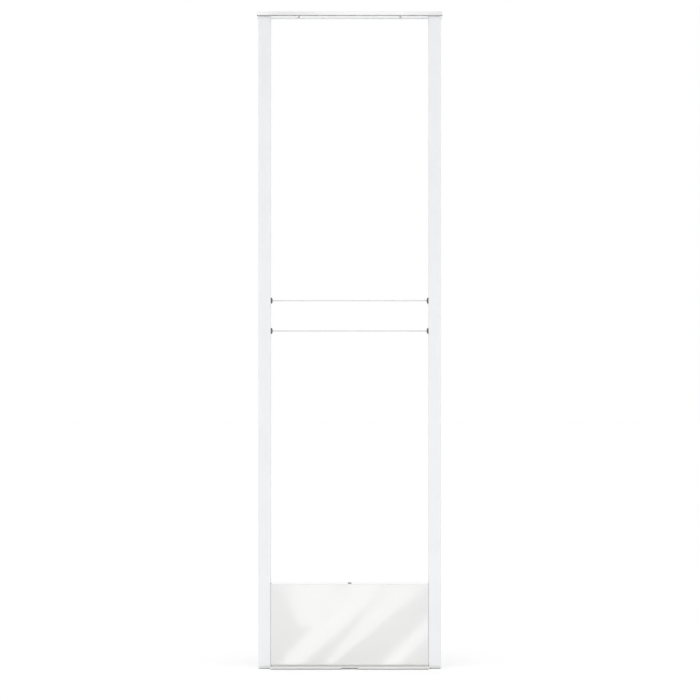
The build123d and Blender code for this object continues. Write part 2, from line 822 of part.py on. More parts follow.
def board_hole_places():
    """Standoffs that carry the control board."""
    x = board_width / 2 - standoff_margin_x
    low = terminal_top + 2 * board_head_r
    high = board_top - standoff_margin_z
    return [(sx * x, z) for sx in (-1, 1) for z in (low, high)] + [(0, board_z + 6), (0, high)]


def control_board():
    """Main circuit board, upright in front of the mounting plate."""
    outline = chamfer(Rectangle(board_width, board_height).vertices(), board_corner)
    middle = (0, -board_back_y, board_z + board_height / 2)
    upright = Plane(origin=middle, x_dir=(1, 0, 0), z_dir=(0, -1, 0))
    board = extrude(upright * outline, board_thick)
    for x, z in board_hole_places():
        board -= pin((x, -board_face_y - 1, z), board_screw_r + fit_gap, board_thick + 2, "Y")
    return board


def board_standoffs():
    """Six-sided spacers between the mounting plate and the board."""
    spacers = []
    for x, z in board_hole_places():
        spacer = rod((x, -board_back_y, z), standoff_r, board_standoff, "Y", 6)
        hole_length = board_screw_length - board_thick + run_gap
        spacer -= pin((x, -board_back_y, z), board_screw_r + fit_gap, hole_length, "Y")
        spacers.append(spacer)
    return group(spacers)


def board_screws():
    """Screws that hold the board to its spacers."""
    return group(
        screw((x, -board_face_y, z), board_head_r, -board_head, board_screw_r, board_screw_length, "Y")
        for x, z in board_hole_places()
    )


def terminal_block(side):
    """Three-way screw terminal at one end of the board."""
    outer = board_width / 2
    front = -board_face_y - terminal_height
    body = block((-outer, front, terminal_low), (-outer + terminal_depth, -board_face_y, terminal_top))
    body = chamfer(body.edges().filter_by(Axis.Z).group_by(Axis.Y)[0], 1.5)
    for z in (exit_low, wire_exit_z, exit_high):
        body -= wire_hole((-outer - 1, -terminal_wire_y, z), lead_r, terminal_entry + 1, "X")
        body -= pin((-outer + terminal_depth * 0.62, front - 1, z), 1.4, 2.5, "Y")
    return body if side < 0 else mirror(body, Plane.YZ)


def chips():
    """Packaged circuits on the board."""
    pieces = []
    for x, rise, width, height, thick in chip_places:
        z = board_z + rise
        low = (x - width / 2, -board_face_y - thick, z - height / 2)
        high = (x + width / 2, -board_face_y, z + height / 2)
        chip = block(low, high)
        pieces.append(chamfer(chip.edges().group_by(Axis.Y)[0], 0.4))
    return group(pieces)


def heat_sink():
    """Finned cooler on the power stage."""
    left = cooler_x - cooler_width / 2
    low = board_z + cooler_rise
    high = low + cooler_height
    body = block((left, -board_face_y - cooler_base, low), (left + cooler_width, -board_face_y, high))
    pitch = (cooler_width - cooler_fin) / (cooler_fins - 1)
    for step in range(cooler_fins):
        x = left + step * pitch
        body += block((x, -board_face_y - cooler_reach, low), (x + cooler_fin, -board_face_y, high))
    return body


def capacitors():
    """Round storage capacitors."""
    return group(
        rod((x, -board_face_y, board_z + rise), radius, -height, "Y", part_sides)
        for x, rise, radius, height in capacitor_places
    )


def coupling_coils():
    """Ring cores that couple the two antenna loops to the board."""
    rings = []
    for x, rise in coil_places:
        z = board_z + rise
        ring = rod((x, -board_face_y, z), coil_r, -coil_thick, "Y", part_sides)
        ring -= pin((x, -board_face_y + 1, z), coil_eye_r, -coil_thick - 2, "Y")
        rings.append(ring)
    return group(rings)


def dial_bodies():
    """Housings of the three adjusters."""
    pieces = []
    for x in dial_places:
        half = dial_body / 2
        top = -board_face_y - dial_body_height
        body = block((x - half, top, dial_z - half), (x + half, -board_face_y, dial_z + half))
        recess = rod((x, top - 1, dial_z), dial_r + run_gap, 1 + dial_recess, "Y", part_sides)
        pieces.append(body - recess)
    return group(pieces)


def slotted_rotor(x, z, face_y, radius, thick):
    """Round rotor with a screwdriver slot, facing the front."""
    rotor = rod((x, face_y, z), radius, -thick, "Y", part_sides)
    half = dial_slot / 2
    top = face_y - thick
    cut = block((x - radius - 1, top - 1, z - half), (x + radius + 1, top + dial_slot_depth, z + half))
    return rotor - cut


def adjuster_dial(x):
    """Rotor of one adjuster, seated in its housing."""
    floor_y = -board_face_y - dial_body_height + dial_recess
    return slotted_rotor(x, dial_z, floor_y - run_gap, dial_r, dial_thick)


def trimmer_base():
    """Housing of the antenna tuning capacitor."""
    base = rod((trimmer_x, -board_face_y, trimmer_z), trimmer_base_r, -trimmer_height, "Y", part_sides)
    top = -board_face_y - trimmer_height
    recess = rod((trimmer_x, top - 1, trimmer_z), trimmer_r + run_gap, 1 + dial_recess, "Y", part_sides)
    return base - recess


def trimmer_rotor():
    """Rotor of the tuning capacitor, which turns without end."""
    floor_y = -board_face_y - trimmer_height + dial_recess
    return slotted_rotor(trimmer_x, trimmer_z, floor_y - run_gap, trimmer_r, dial_thick)


def lever_x(way):
    """Place of one switch lever along the body."""
    return switch_x + (way - (switch_ways - 1) / 2) * switch_pitch


def mode_switch_body():
    """Body of the small slide switches, with a well for each lever."""
    half = switch_ways * switch_pitch / 2 + 0.6
    front = -board_face_y - switch_body_thick
    low = switch_z - switch_body_height / 2
    body = block((switch_x - half, front, low), (switch_x + half, -board_face_y, low + switch_body_height))
    well_height = lever_height + lever_travel + 2 * run_gap
    for way in range(switch_ways):
        x = lever_x(way)
        well = lever_width / 2 + run_gap
        bottom = switch_z - well_height / 2
        body -= block((x - well, front - 1, bottom), (x + well, front + well_depth, bottom + well_height))
    return body


def mode_lever(way):
    """One switch lever, at the lower end of its travel."""
    x = lever_x(way)
    half = lever_width / 2
    front = -board_face_y - switch_body_thick
    low = switch_z - (lever_height + lever_travel) / 2
    start = (x - half, front - lever_stand, low)
    return block(start, (x + half, front + well_depth - run_gap, low + lever_height))


def sounder():
    """Round alarm sounder with a hole in its face."""
    z = board_top - sounder_drop
    body = rod((sounder_x, -board_face_y, z), sounder_r, -sounder_height, "Y", part_sides)
    return body - pin((sounder_x, -board_face_y - sounder_height - 1, z), 1.6, 4.0, "Y")


def status_lights():
    """Small indicator lamps on the board."""
    z = board_top - lamp_drop
    return group(pin((x, -board_face_y, z), lamp_r, -lamp_height, "Y") for x in lamp_places)


def power_module():
    """Sealed supply module on the back of the mounting plate."""
    low = (module_x - module_width / 2, mount_face, module_z)
    high = (module_x + module_width / 2, mount_face + module_depth, module_z + module_height)
    body = block(low, high)
    body = chamfer(body.edges().filter_by(Axis.Y), 3.0)
    body = chamfer(body.edges().group_by(Axis.Y)[-1], 1.0)
    for side in (-1, 1):
        near = module_x + side * (module_width / 2 - 1)
        far = module_x + side * (module_width / 2 + module_ear)
        middle = module_z + module_height / 2
        left, right = sorted((near, far))
        body += block((left, mount_face, middle - 8), (right, mount_face + 3, middle + 8))
    level = module_z + module_height
    body -= wire_hole((power_terminal_x, lead_channel_y(), level - 5), power_lead_r, 6)
    return body


def lead_channel_y():
    """Depth at which the power lead leaves its module."""
    return mount_face + module_depth / 2


def power_lead():
    """Lead from the module, over through the mounting plate and down to the board."""
    x = power_terminal_x
    y = lead_channel_y()
    top = module_z + module_height
    end = board_top - terminal_entry + 1
    points = [(x, y, top - 4), (x, y, lead_hole_z)]
    points += [(x, -terminal_wire_y, lead_hole_z), (x, -terminal_wire_y, end)]
    return tube_along(points, [lead_bend, lead_bend], power_lead_r)


def lead_bush():
    """Ring that lines the hole for the power lead in the mounting plate."""
    x, z = power_terminal_x, lead_hole_z
    flange = 1.0
    ring = pin((x, -mount_face, z), lead_hole_r, sheet, "Y")
    for side in (-1, 1):
        ring += pin((x, side * mount_face, z), lead_hole_r + 1.4, side * flange, "Y")
    return ring - wire_hole((x, -mount_face - flange - 1, z), power_lead_r, sheet + 2 * flange + 2, "Y")


def power_terminal():
    """Terminal on the board's top edge that takes the power lead."""
    x = power_terminal_x
    low = (x - 7, -board_face_y - terminal_height, board_top - terminal_depth)
    body = block(low, (x + 7, -board_face_y, board_top))
    body = chamfer(body.edges().filter_by(Axis.X).group_by(Axis.Y)[0], 1.5)
    entry = board_top - terminal_entry
    return body - wire_hole((x, -terminal_wire_y, entry), power_lead_r, terminal_entry + 1)


os.makedirs("parts", exist_ok=True)

left_post = post_left()
left_bush = wire_bush_left()
sill = cover_sill()
bracket = latch_bracket()
cover = front_cover()
lock = front_cover_lock()

save("base_plate", base_plate())
save("base_seal", base_seal())
save("post_left", left_post)
save("post_right", turned(left_post))
save("post_base_screws", post_base_screws())
save("top_rail", top_rail())
save("rail_screws", rail_screws())
save("top_cap", top_cap())
save("cap_screws", cap_screws())
save("crossbar_upper", crossbar(crossbar_upper_z))
save("crossbar_lower", crossbar(crossbar_lower_z))
save("crossbar_grommets", crossbar_grommets())
save("wire_bushes", group([left_bush, turned(left_bush)]))
save("wire_spacers", wire_spacers())
save("upper_loop_wire", upper_loop_wire())
save("lower_loop_wire", lower_loop_wire())
save("light_strip", light_strip())
save("alarm_lights", alarm_lights())
save("light_lead", light_lead())
save("cover_sill_front", sill)
save("cover_sill_rear", turned(sill))
save("mounting_plate", mounting_plate())
save("mount_screws", mount_screws())
save("latch_bracket_front", bracket)
save("latch_bracket_rear", turned(bracket))
save("bracket_rivets", bracket_rivets())
save("control_board", control_board())
save("board_standoffs", board_standoffs())
save("board_screws", board_screws())
save("antenna_terminal_left", terminal_block(-1))
save("antenna_terminal_right", terminal_block(1))
save("power_terminal", power_terminal())
save("chips", chips())
save("heat_sink", heat_sink())
save("capacitors", capacitors())
save("coupling_coils", coupling_coils())
save("sounder", sounder())
save("status_lights", status_lights())
save("dial_bodies", dial_bodies())
for name, x in zip(("range_dial", "volume_dial", "delay_dial"), dial_places):
    save(name, adjuster_dial(x))
save("trimmer_base", trimmer_base())
save("trimmer_rotor", trimmer_rotor())
save("mode_switch_body", mode_switch_body())
for way in range(switch_ways):
    save(f"mode_lever_{way + 1}", mode_lever(way))
save("power_module", power_module())
save("power_lead", power_lead())
save("lead_bush", lead_bush())
save("front_cover", cover)
save("rear_cover", turned(cover))
save("front_cover_lock", lock)
save("rear_cover_lock", turned(lock))
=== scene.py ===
import math

import bmesh
import bpy
from mathutils import Matrix, Vector


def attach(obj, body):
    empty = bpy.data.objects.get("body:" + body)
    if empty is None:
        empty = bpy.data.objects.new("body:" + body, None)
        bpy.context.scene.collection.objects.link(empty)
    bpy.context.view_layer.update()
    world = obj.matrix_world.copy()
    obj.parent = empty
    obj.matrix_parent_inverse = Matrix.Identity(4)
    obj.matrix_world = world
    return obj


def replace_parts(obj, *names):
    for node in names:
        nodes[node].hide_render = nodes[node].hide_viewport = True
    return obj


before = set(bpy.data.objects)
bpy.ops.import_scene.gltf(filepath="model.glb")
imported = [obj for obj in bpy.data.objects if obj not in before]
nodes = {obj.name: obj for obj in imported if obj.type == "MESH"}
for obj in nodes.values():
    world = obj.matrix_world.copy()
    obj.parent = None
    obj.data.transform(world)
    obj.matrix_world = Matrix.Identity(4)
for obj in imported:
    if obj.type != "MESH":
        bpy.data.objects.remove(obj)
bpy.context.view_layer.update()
print("frame loaded:", len(nodes), "nodes")


def linked(name, data):
    # an object of this name, put into the scene
    thing = bpy.data.objects.new(name, data)
    bpy.context.scene.collection.objects.link(thing)
    return thing


# the camera stands a few steps in front of the gate
cameraSetup = {
    "place": (0.0009, -6.025, 0.7754),
    "lens": 126.8,
    "sensor": 36.0,
    "farthest": 100.0,
}


def makeCamera(place, lens, sensor, farthest):
    camera = bpy.data.cameras.new("camera")
    camera.lens = lens
    camera.sensor_width = sensor
    camera.clip_end = farthest
    holder = linked("camera", camera)
    holder.location = place
    holder.rotation_euler = (math.radians(90), 0, 0)
    bpy.context.scene.camera = holder


makeCamera(**cameraSetup)
bpy.context.scene.view_settings.view_transform = "Standard"

# node materials
noiseMiddle = (0.3, 0.7)  # where most of a noise's values lie
patchDetail, grainDetail = 2.0, 3.0
bumpStrength = 0.4
evenly = (1, 1, 1)


def newTree(name):
    material = bpy.data.materials.new(name)
    material.use_nodes = True
    tree = material.node_tree
    tree.nodes.clear()
    return material, tree, tree.nodes.new("ShaderNodeOutputMaterial")


def computed(tree, operation, first, second):
    # a math node's result for two values, each a socket or a number
    node = tree.nodes.new("ShaderNodeMath")
    node.operation = operation
    for place, value in enumerate((first, second)):
        if isinstance(value, (int, float)):
            node.inputs[place].default_value = value
        else:
            tree.links.new(value, node.inputs[place])
    return node.outputs["Value"]


def addShaders(tree, first, second, output):
    both = tree.nodes.new("ShaderNodeAddShader")
    tree.links.new(first, both.inputs[0])
    tree.links.new(second, both.inputs[1])
    tree.links.new(both.outputs["Shader"], output.inputs["Surface"])


def noise(tree, coords, scale, stretch, detail):
    mapping = tree.nodes.new("ShaderNodeMapping")
    mapping.inputs["Scale"].default_value = stretch
    tree.links.new(coords, mapping.inputs["Vector"])
    texture = tree.nodes.new("ShaderNodeTexNoise")
    texture.inputs["Scale"].default_value = scale
    texture.inputs["Detail"].default_value = detail
    tree.links.new(mapping.outputs["Vector"], texture.inputs["Vector"])
    return texture.outputs["Fac"]


def between(tree, factor, low, high):
    # a number that wanders between low and high with the noise
    spread = tree.nodes.new("ShaderNodeMapRange")
    spread.inputs["From Min"].default_value = noiseMiddle[0]
    spread.inputs["From Max"].default_value = noiseMiddle[1]
    spread.inputs["To Min"].default_value = low
    spread.inputs["To Max"].default_value = high
    tree.links.new(factor, spread.inputs["Value"])
    return spread.outputs["Result"]


def blendColours(tree, factor, first, second):
    # a colour that wanders between two with the noise
    ramp = tree.nodes.new("ShaderNodeValToRGB")
    for stop, place, colour in zip(ramp.color_ramp.elements, noiseMiddle, (first, second)):
        stop.position = place
        stop.color = (*colour, 1)
    tree.links.new(factor, ramp.inputs["Fac"])
    return ramp.outputs["Color"]


def finish(name, look, metal):
    # colours, roughness and bumps of one surface; patches, grain and bumps are in metres
    material, tree, output = newTree(name)
    shader = tree.nodes.new("ShaderNodeBsdfPrincipled")
    coords = tree.nodes.new("ShaderNodeTexCoord").outputs["Object"]
    patchStretch = look.get("patchStretch", evenly)
    patch = noise(tree, coords, 1 / look["patchSize"], patchStretch, patchDetail)
    colour = blendColours(tree, patch, look["colour"], look["second"])
    tree.links.new(colour, shader.inputs["Base Color"])
    grainStretch = look.get("grainStretch", evenly)
    grain = noise(tree, coords, 1 / look["grainSize"], grainStretch, grainDetail)
    tree.links.new(between(tree, grain, *look["roughness"]), shader.inputs["Roughness"])
    bump = tree.nodes.new("ShaderNodeBump")
    bump.inputs["Strength"].default_value = bumpStrength
    bump.inputs["Distance"].default_value = look["bumpHeight"]
    tree.links.new(grain, bump.inputs["Height"])
    tree.links.new(bump.outputs["Normal"], shader.inputs["Normal"])
    shader.inputs["Metallic"].default_value = metal
    for socket, value in look.get("sockets", {}).items():
        shader.inputs[socket].default_value = value
    tree.links.new(shader.outputs["BSDF"], output.inputs["Surface"])
    return material


# one row for each finish; sizes and heights are in metres
lookFields = ("colour", "second", "patchSize", "grainSize", "roughness", "bumpHeight")
looks = {
    "whitePaint": ((0.80, 0.81, 0.83), (0.825, 0.835, 0.85), 0.09, 0.0011, (0.36, 0.46), 0.00004),
    "glossWhite": ((0.735, 0.735, 0.73), (0.75, 0.75, 0.745), 0.12, 0.006, (0.2, 0.26), 0.00001),
    "capWhite": ((0.82, 0.82, 0.815), (0.835, 0.835, 0.83), 0.12, 0.006, (0.2, 0.26), 0.00001),
    "railAluminium": ((0.90, 0.90, 0.91), (0.93, 0.93, 0.94), 0.03, 0.0006, (0.2, 0.3), 0.00001),
    "plateSteel": ((0.82, 0.82, 0.81), (0.88, 0.88, 0.87), 0.02, 0.0005, (0.3, 0.45), 0.00002),
    "zincSheet": ((0.60, 0.61, 0.63), (0.74, 0.75, 0.76), 0.011, 0.002, (0.3, 0.5), 0.00002),
    # the seal's near-black tone is rubber and also painted shade: it stands for the contact shadow
    # under the plate's foot
    "sealRubberContactShade": ((0.02, 0.02, 0.02), (0.03, 0.03, 0.03), 0.01, 0.001, (0.7, 0.85), 0.00003),
    "brightSteel": ((0.79, 0.79, 0.78), (0.83, 0.83, 0.82), 0.003, 0.0006, (0.5, 0.6), 0.00001),
    "sillGrey": ((0.68, 0.68, 0.67), (0.72, 0.72, 0.71), 0.02, 0.001, (0.35, 0.5), 0.00002),
    "darkRubber": ((0.10, 0.10, 0.10), (0.13, 0.13, 0.13), 0.006, 0.0007, (0.5, 0.7), 0.00004),
    "zincScrew": ((0.55, 0.53, 0.49), (0.66, 0.64, 0.60), 0.003, 0.0006, (0.25, 0.4), 0.00002),
    "dulledBrass": ((0.24, 0.215, 0.15), (0.29, 0.265, 0.19), 0.003, 0.0006, (0.3, 0.45), 0.00002),
    "barTube": ((0.68, 0.68, 0.69), (0.72, 0.72, 0.73), 0.05, 0.0012, (0.3, 0.4), 0.00002),
    "wireSleeve": ((0.62, 0.08, 0.07), (0.68, 0.1, 0.09), 0.02, 0.001, (0.35, 0.5), 0.00002),
    "leadSleeve": ((0.04, 0.04, 0.04), (0.06, 0.06, 0.06), 0.02, 0.001, (0.4, 0.55), 0.00003),
    "paleNylon": ((0.74, 0.74, 0.70), (0.80, 0.80, 0.77), 0.01, 0.001, (0.45, 0.6), 0.00004),
    "boardGreen": ((0.02, 0.15, 0.06), (0.03, 0.2, 0.085), 0.012, 0.0008, (0.28, 0.4), 0.00002),
    "boardWhite": ((0.78, 0.78, 0.76), (0.82, 0.82, 0.8), 0.01, 0.001, (0.3, 0.4), 0.00002),
    "lightYellow": ((0.85, 0.72, 0.25), (0.88, 0.78, 0.35), 0.002, 0.001, (0.2, 0.3), 0.00001),
    "terminalGreen": ((0.05, 0.3, 0.12), (0.07, 0.36, 0.15), 0.004, 0.0006, (0.4, 0.5), 0.00003),
    "chipBlack": ((0.02, 0.02, 0.02), (0.035, 0.035, 0.035), 0.002, 0.0003, (0.5, 0.65), 0.00002),
    "blackAnodised": ((0.03, 0.03, 0.03), (0.05, 0.05, 0.05), 0.01, 0.0005, (0.4, 0.55), 0.00002),
    "sleeveBlue": ((0.02, 0.03, 0.09), (0.03, 0.04, 0.12), 0.004, 0.002, (0.2, 0.3), 0.00002),
    "copperWinding": ((0.42, 0.13, 0.04), (0.5, 0.18, 0.07), 0.002, 0.0008, (0.22, 0.32), 0.00002),
    "dialBlue": ((0.02, 0.1, 0.42), (0.03, 0.13, 0.5), 0.003, 0.0005, (0.25, 0.35), 0.00002),
    "rotorBrass": ((0.66, 0.5, 0.2), (0.75, 0.6, 0.3), 0.002, 0.0004, (0.22, 0.35), 0.00002),
    "switchRed": ((0.5, 0.03, 0.025), (0.58, 0.05, 0.04), 0.003, 0.0005, (0.35, 0.45), 0.00002),
    "leverWhite": ((0.78, 0.78, 0.77), (0.83, 0.83, 0.82), 0.002, 0.0004, (0.35, 0.45), 0.00002),
    "tinned": ((0.62, 0.62, 0.60), (0.72, 0.72, 0.70), 0.002, 0.0004, (0.22, 0.36), 0.00002),
    "partBrown": ((0.06, 0.05, 0.045), (0.32, 0.22, 0.13), 0.009, 0.0004, (0.4, 0.5), 0.00001),
    "trackGreen": ((0.045, 0.24, 0.09), (0.06, 0.3, 0.12), 0.008, 0.0006, (0.25, 0.35), 0.00001),
    "ferrite": ((0.05, 0.05, 0.055), (0.08, 0.08, 0.085), 0.003, 0.0004, (0.55, 0.7), 0.00003),
    "moduleBlack": ((0.035, 0.035, 0.04), (0.05, 0.05, 0.055), 0.01, 0.0007, (0.5, 0.62), 0.00006),
}
# long patches and grain of drawn metal, and the clear coat of glossy paint
lookExtras = {
    "glossWhite": {"sockets": {"Coat Weight": 1.0, "Coat Roughness": 0.04, "Coat IOR": 1.6}},
    "capWhite": {"sockets": {"Coat Weight": 1.0, "Coat Roughness": 0.06, "Coat IOR": 1.6}},
    "railAluminium": {"patchStretch": (0.05, 1, 1), "grainStretch": (0.01, 1, 1)},
    "plateSteel": {"patchStretch": (0.08, 1, 1), "grainStretch": (0.012, 1, 1)},
    "blackAnodised": {"grainStretch": (1, 1, 0.02)},
}
metalness = {
    "railAluminium": 1.0, "plateSteel": 1.0, "zincSheet": 1.0, "brightSteel": 0.3,
    "zincScrew": 1.0, "dulledBrass": 1.0, "blackAnodised": 0.6, "copperWinding": 0.8,
    "rotorBrass": 1.0, "tinned": 1.0,
}

finishes = {}
for name, values in looks.items():
    look = dict(zip(lookFields, values), **lookExtras.get(name, {}))
    finishes[name] = finish(name, look, metalness.get(name, 0.0))
print("finishes made:", len(finishes))

# which finish each carried-over piece wears
wearers = {
    "whitePaint": ["post_left", "post_right"],
    "capWhite": ["top_cap"],
    "glossWhite": ["front_cover", "rear_cover"],
    "railAluminium": ["top_rail"],
    "plateSteel": ["base_plate"],
    "sillGrey": ["cover_sill_front", "cover_sill_rear"],
    # a near-black strip at the plate's foot, partly rubber seal and partly painted contact shadow
    "sealRubberContactShade": ["base_seal"],
    "zincSheet": ["mounting_plate", "latch_bracket_front", "latch_bracket_rear"],
    "darkRubber": ["crossbar_grommets", "wire_bushes", "lead_bush"],
    "zincScrew": ["cap_screws", "rail_screws", "post_base_screws", "mount_screws", "board_screws",
                  "bracket_rivets", "board_standoffs"],
    "dulledBrass": ["front_cover_lock"],
    "brightSteel": ["rear_cover_lock"],
    "barTube": ["crossbar_upper", "crossbar_lower"],
    "wireSleeve": ["upper_loop_wire", "lower_loop_wire"],
    "leadSleeve": ["light_lead", "power_lead"],
    "paleNylon": ["wire_spacers"],
    "boardGreen": ["control_board"],
    "boardWhite": ["light_strip"],
    "lightYellow": ["alarm_lights", "status_lights"],
    "terminalGreen": ["antenna_terminal_left", "antenna_terminal_right", "power_terminal"],
    "chipBlack": ["chips", "sounder"],
    "blackAnodised": ["heat_sink"],
    "sleeveBlue": ["capacitors"],
    "copperWinding": ["coupling_coils"],
    "dialBlue": ["dial_bodies"],
    "rotorBrass": ["range_dial", "volume_dial", "delay_dial", "trimmer_rotor"],
    "switchRed": ["mode_switch_body"],
    "leverWhite": ["mode_lever_1", "mode_lever_2", "mode_lever_3", "mode_lever_4", "trimmer_base"],
    "moduleBlack": ["power_module"],
}
for finishName, names in wearers.items():
    for name in names:
        for slot in nodes[name].material_slots:
            slot.material = finishes[finishName]

# mesh helpers; pieces are made in metres, already in place
creaseAngle = 35  # faces that meet at more degrees than this keep a crease between them


def plainObject(name, build):
    # an object from a mesh being built
    mesh = bpy.data.meshes.new(name)
    bmesh.ops.recalc_face_normals(build, faces=build.faces)
    build.to_mesh(mesh)
    build.free()
    return linked(name, mesh)


def smoothed(mesh, angle=creaseAngle):
    for face in mesh.polygons:
        face.use_smooth = True
    mesh.set_sharp_from_angle(angle=math.radians(angle))


def newPiece(name, build, finishName, body="gate_frame", angle=creaseAngle):
    # an object from a mesh being built, in one finish, riding on one body
    piece = plainObject(name, build)
    smoothed(piece.data, angle)
    piece.data.materials.append(finishes[finishName])
    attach(piece, body)
    return piece


# how near two points count as one in metres, how flat counts as flat and how sharp as an edge
edgeRules = {"samePoint": 0.000002, "flat": math.radians(1), "sharp": math.radians(25)}


def softened(nodeName, width, segments=2, body="gate_frame"):
    # the same shape as a carried-over node, with its sharp edges broken
    build = bmesh.new()
    build.from_mesh(nodes[nodeName].data)
    bmesh.ops.remove_doubles(build, verts=build.verts, dist=edgeRules["samePoint"])
    bmesh.ops.dissolve_limit(
        build, angle_limit=edgeRules["flat"], verts=build.verts, edges=build.edges)
    sharp = [edge for edge in build.edges
             if len(edge.link_faces) == 2 and edge.calc_face_angle() > edgeRules["sharp"]]
    bmesh.ops.bevel(build, geom=sharp, offset=width, segments=segments, profile=0.5,
                    affect="EDGES", clamp_overlap=True)
    finishName = next(key for key, names in wearers.items() if nodeName in names)
    piece = newPiece(nodeName + "_soft", build, finishName, body)
    weighted = piece.modifiers.new("evenNormals", "WEIGHTED_NORMAL")
    weighted.keep_sharp = True
    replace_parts(piece, nodeName)


def axisTurn(axis):
    # turns a shape made along Z so that it points along the named axis
    turns = {
        "+Z": Matrix.Identity(4), "-Z": Matrix.Rotation(math.pi, 4, "X"),
        "+X": Matrix.Rotation(math.pi / 2, 4, "Y"), "-X": Matrix.Rotation(-math.pi / 2, 4, "Y"),
        "+Y": Matrix.Rotation(-math.pi / 2, 4, "X"), "-Y": Matrix.Rotation(math.pi / 2, 4, "X"),
    }
    return turns[axis]


def bridge(build, low, high):
    # faces between two rings with the same number of points
    for step in range(len(low)):
        after = (step + 1) % len(low)
        build.faces.new((low[step], low[after], high[after], high[step]))


def addLathe(build, profile, place, axis="+Z", steps=48):
    # turns a line of (radius, height) points in millimetres round an axis
    matrix = Matrix.Translation(place) @ axisTurn(axis)
    rings = []
    for radius, height in profile:
        if radius == 0:
            rings.append([build.verts.new(matrix @ Vector((0, 0, height / 1000)))])
            continue
        ring = []
        for step in range(steps):
            angle = 2 * math.pi * step / steps
            point = Vector((radius * math.cos(angle), radius * math.sin(angle), height)) / 1000
            ring.append(build.verts.new(matrix @ point))
        rings.append(ring)
    for low, high in zip(rings, rings[1:]):
        if len(low) > 1 and len(high) > 1:
            bridge(build, low, high)
            continue
        for step in range(steps):
            after = (step + 1) % steps
            if len(low) == 1:
                build.faces.new((low[0], high[step], high[after]))
            else:
                build.faces.new((low[step], low[after], high[0]))


def addBlock(build, low, high, edge=0.0, turn=None):
    # a block between two corners in millimetres, turned about its middle, with broken edges
    made = bmesh.ops.create_cube(build, size=1.0)["verts"]
    size = [(b - a) / 1000 for a, b in zip(low, high)]
    centre = [(a + b) / 2000 for a, b in zip(low, high)]
    bmesh.ops.scale(build, verts=made, vec=size)
    if turn:
        bmesh.ops.rotate(build, verts=made, cent=(0, 0, 0), matrix=turn)
    bmesh.ops.translate(build, verts=made, vec=centre)
    if edge:
        edges = {e for v in made for e in v.link_edges}
        bmesh.ops.bevel(build, geom=list(edges), offset=edge / 1000, segments=2, profile=0.5,
                        affect="EDGES")


def addTube(build, points, radius, steps=12):
    # a round tube through a line of points in metres, closed at both ends
    rings = []
    side = None
    for place, point in enumerate(points):
        ahead = points[min(place + 1, len(points) - 1)] - points[max(place - 1, 0)]
        ahead.normalize()
        if side is None:
            side = ahead.orthogonal().normalized()
        side = (side - ahead * side.dot(ahead)).normalized()
        other = ahead.cross(side)
        ring = []
        for step in range(steps):
            angle = 2 * math.pi * step / steps
            outward = math.cos(angle) * side + math.sin(angle) * other
            ring.append(build.verts.new(point + radius * outward))
        rings.append(ring)
    for low, high in zip(rings, rings[1:]):
        bridge(build, low, high)
    build.faces.new(rings[0][::-1])
    build.faces.new(rings[-1])


def cutAway(piece, cutter):
    # takes the cutter's shape out of the piece and deletes the cutter
    tool = piece.modifiers.new("cut", "BOOLEAN")
    tool.operation = "DIFFERENCE"
    tool.solver = "EXACT"
    tool.object = cutter
    bpy.context.view_layer.update()
    done = piece.evaluated_get(bpy.context.evaluated_depsgraph_get())
    mesh = bpy.data.meshes.new_from_object(done)
    piece.modifiers.remove(tool)
    old = piece.data
    piece.data = mesh
    bpy.data.meshes.remove(old)
    bpy.data.objects.remove(cutter)
    smoothed(mesh)


recessTurn = math.radians(25)  # all cross recesses stand turned by this much


def crossSlots(places, axis, width, reach, depth):
    # cutters for cross recesses in screws' faces; the arms narrow towards the bottom
    build = bmesh.new()
    for place in places:
        turned = axisTurn(axis) @ Matrix.Rotation(recessTurn, 4, "Z")
        matrix = Matrix.Translation(place) @ turned
        rings = []
        for far, height in ((reach, depth), (reach, 0), (max(width, reach * 0.5), -depth)):
            ring = []
            for quarter in range(4):
                turn = Matrix.Rotation(math.pi / 2 * quarter, 4, "Z")
                for x, y in ((far, -width / 2), (far, width / 2), (width / 2, width / 2)):
                    ring.append(build.verts.new(matrix @ turn @ (Vector((x, y, height)) / 1000)))
            rings.append(ring)
        for low, high in zip(rings, rings[1:]):
            bridge(build, low, high)
        build.faces.new(rings[0])
        build.faces.new(rings[-1][::-1])
    return plainObject("recessCutter", build)


# shares of a pan head's height and radius, then of its core; the last is in millimetres
panHead = {
    "rim": 0.35, "crown": 0.55, "flat": 0.5, "arcSteps": 5,
    "slotWidth": 0.26, "slotReach": 0.62, "slotDepth": 0.55,
    "point": 0.6, "pointLength": 0.8,
}


def screws(name, places, axis, head):
    # pan-head screws that stand on a face at each place, with a cross recess
    tall, wide, core, end = head["height"], head["radius"], head["core"], -head["shank"]
    rim, crown = panHead["rim"], panHead["crown"]
    profile = [(0, end), (core * panHead["point"], end), (core, end + panHead["pointLength"])]
    profile += [(core, 0), (wide, 0), (wide, tall * rim)]
    for step in range(1, panHead["arcSteps"]):
        angle = math.pi / 2 * step / panHead["arcSteps"]
        across = crown + (1 - crown) * math.cos(angle)
        profile.append((wide * across, tall * (rim + (1 - rim) * math.sin(angle))))
    profile += [(wide * panHead["flat"], tall), (0, tall)]
    build = bmesh.new()
    for place in places:
        addLathe(build, profile, place, axis, steps=40)
    piece = newPiece(name, build, "zincScrew")
    rise = axisTurn(axis) @ Vector((0, 0, tall / 1000))
    cutAway(piece, crossSlots(
        [Vector(place) + rise for place in places], axis,
        wide * panHead["slotWidth"], wide * panHead["slotReach"], tall * panHead["slotDepth"]))
    return piece


def arcPoints(centre, radius, start, end, steps):
    # (radius, height) points of an arc, for a lathe's profile
    points = []
    for step in range(steps + 1):
        angle = math.radians(start + (end - start) * step / steps)
        across = centre[0] + radius * math.cos(angle)
        points.append((across, centre[1] + radius * math.sin(angle)))
    return points


# most of a run that a bend may take up, the half angle that counts as straight, points per bend
bendRules = {"share": 0.49, "straight": math.radians(89.5), "steps": 8}


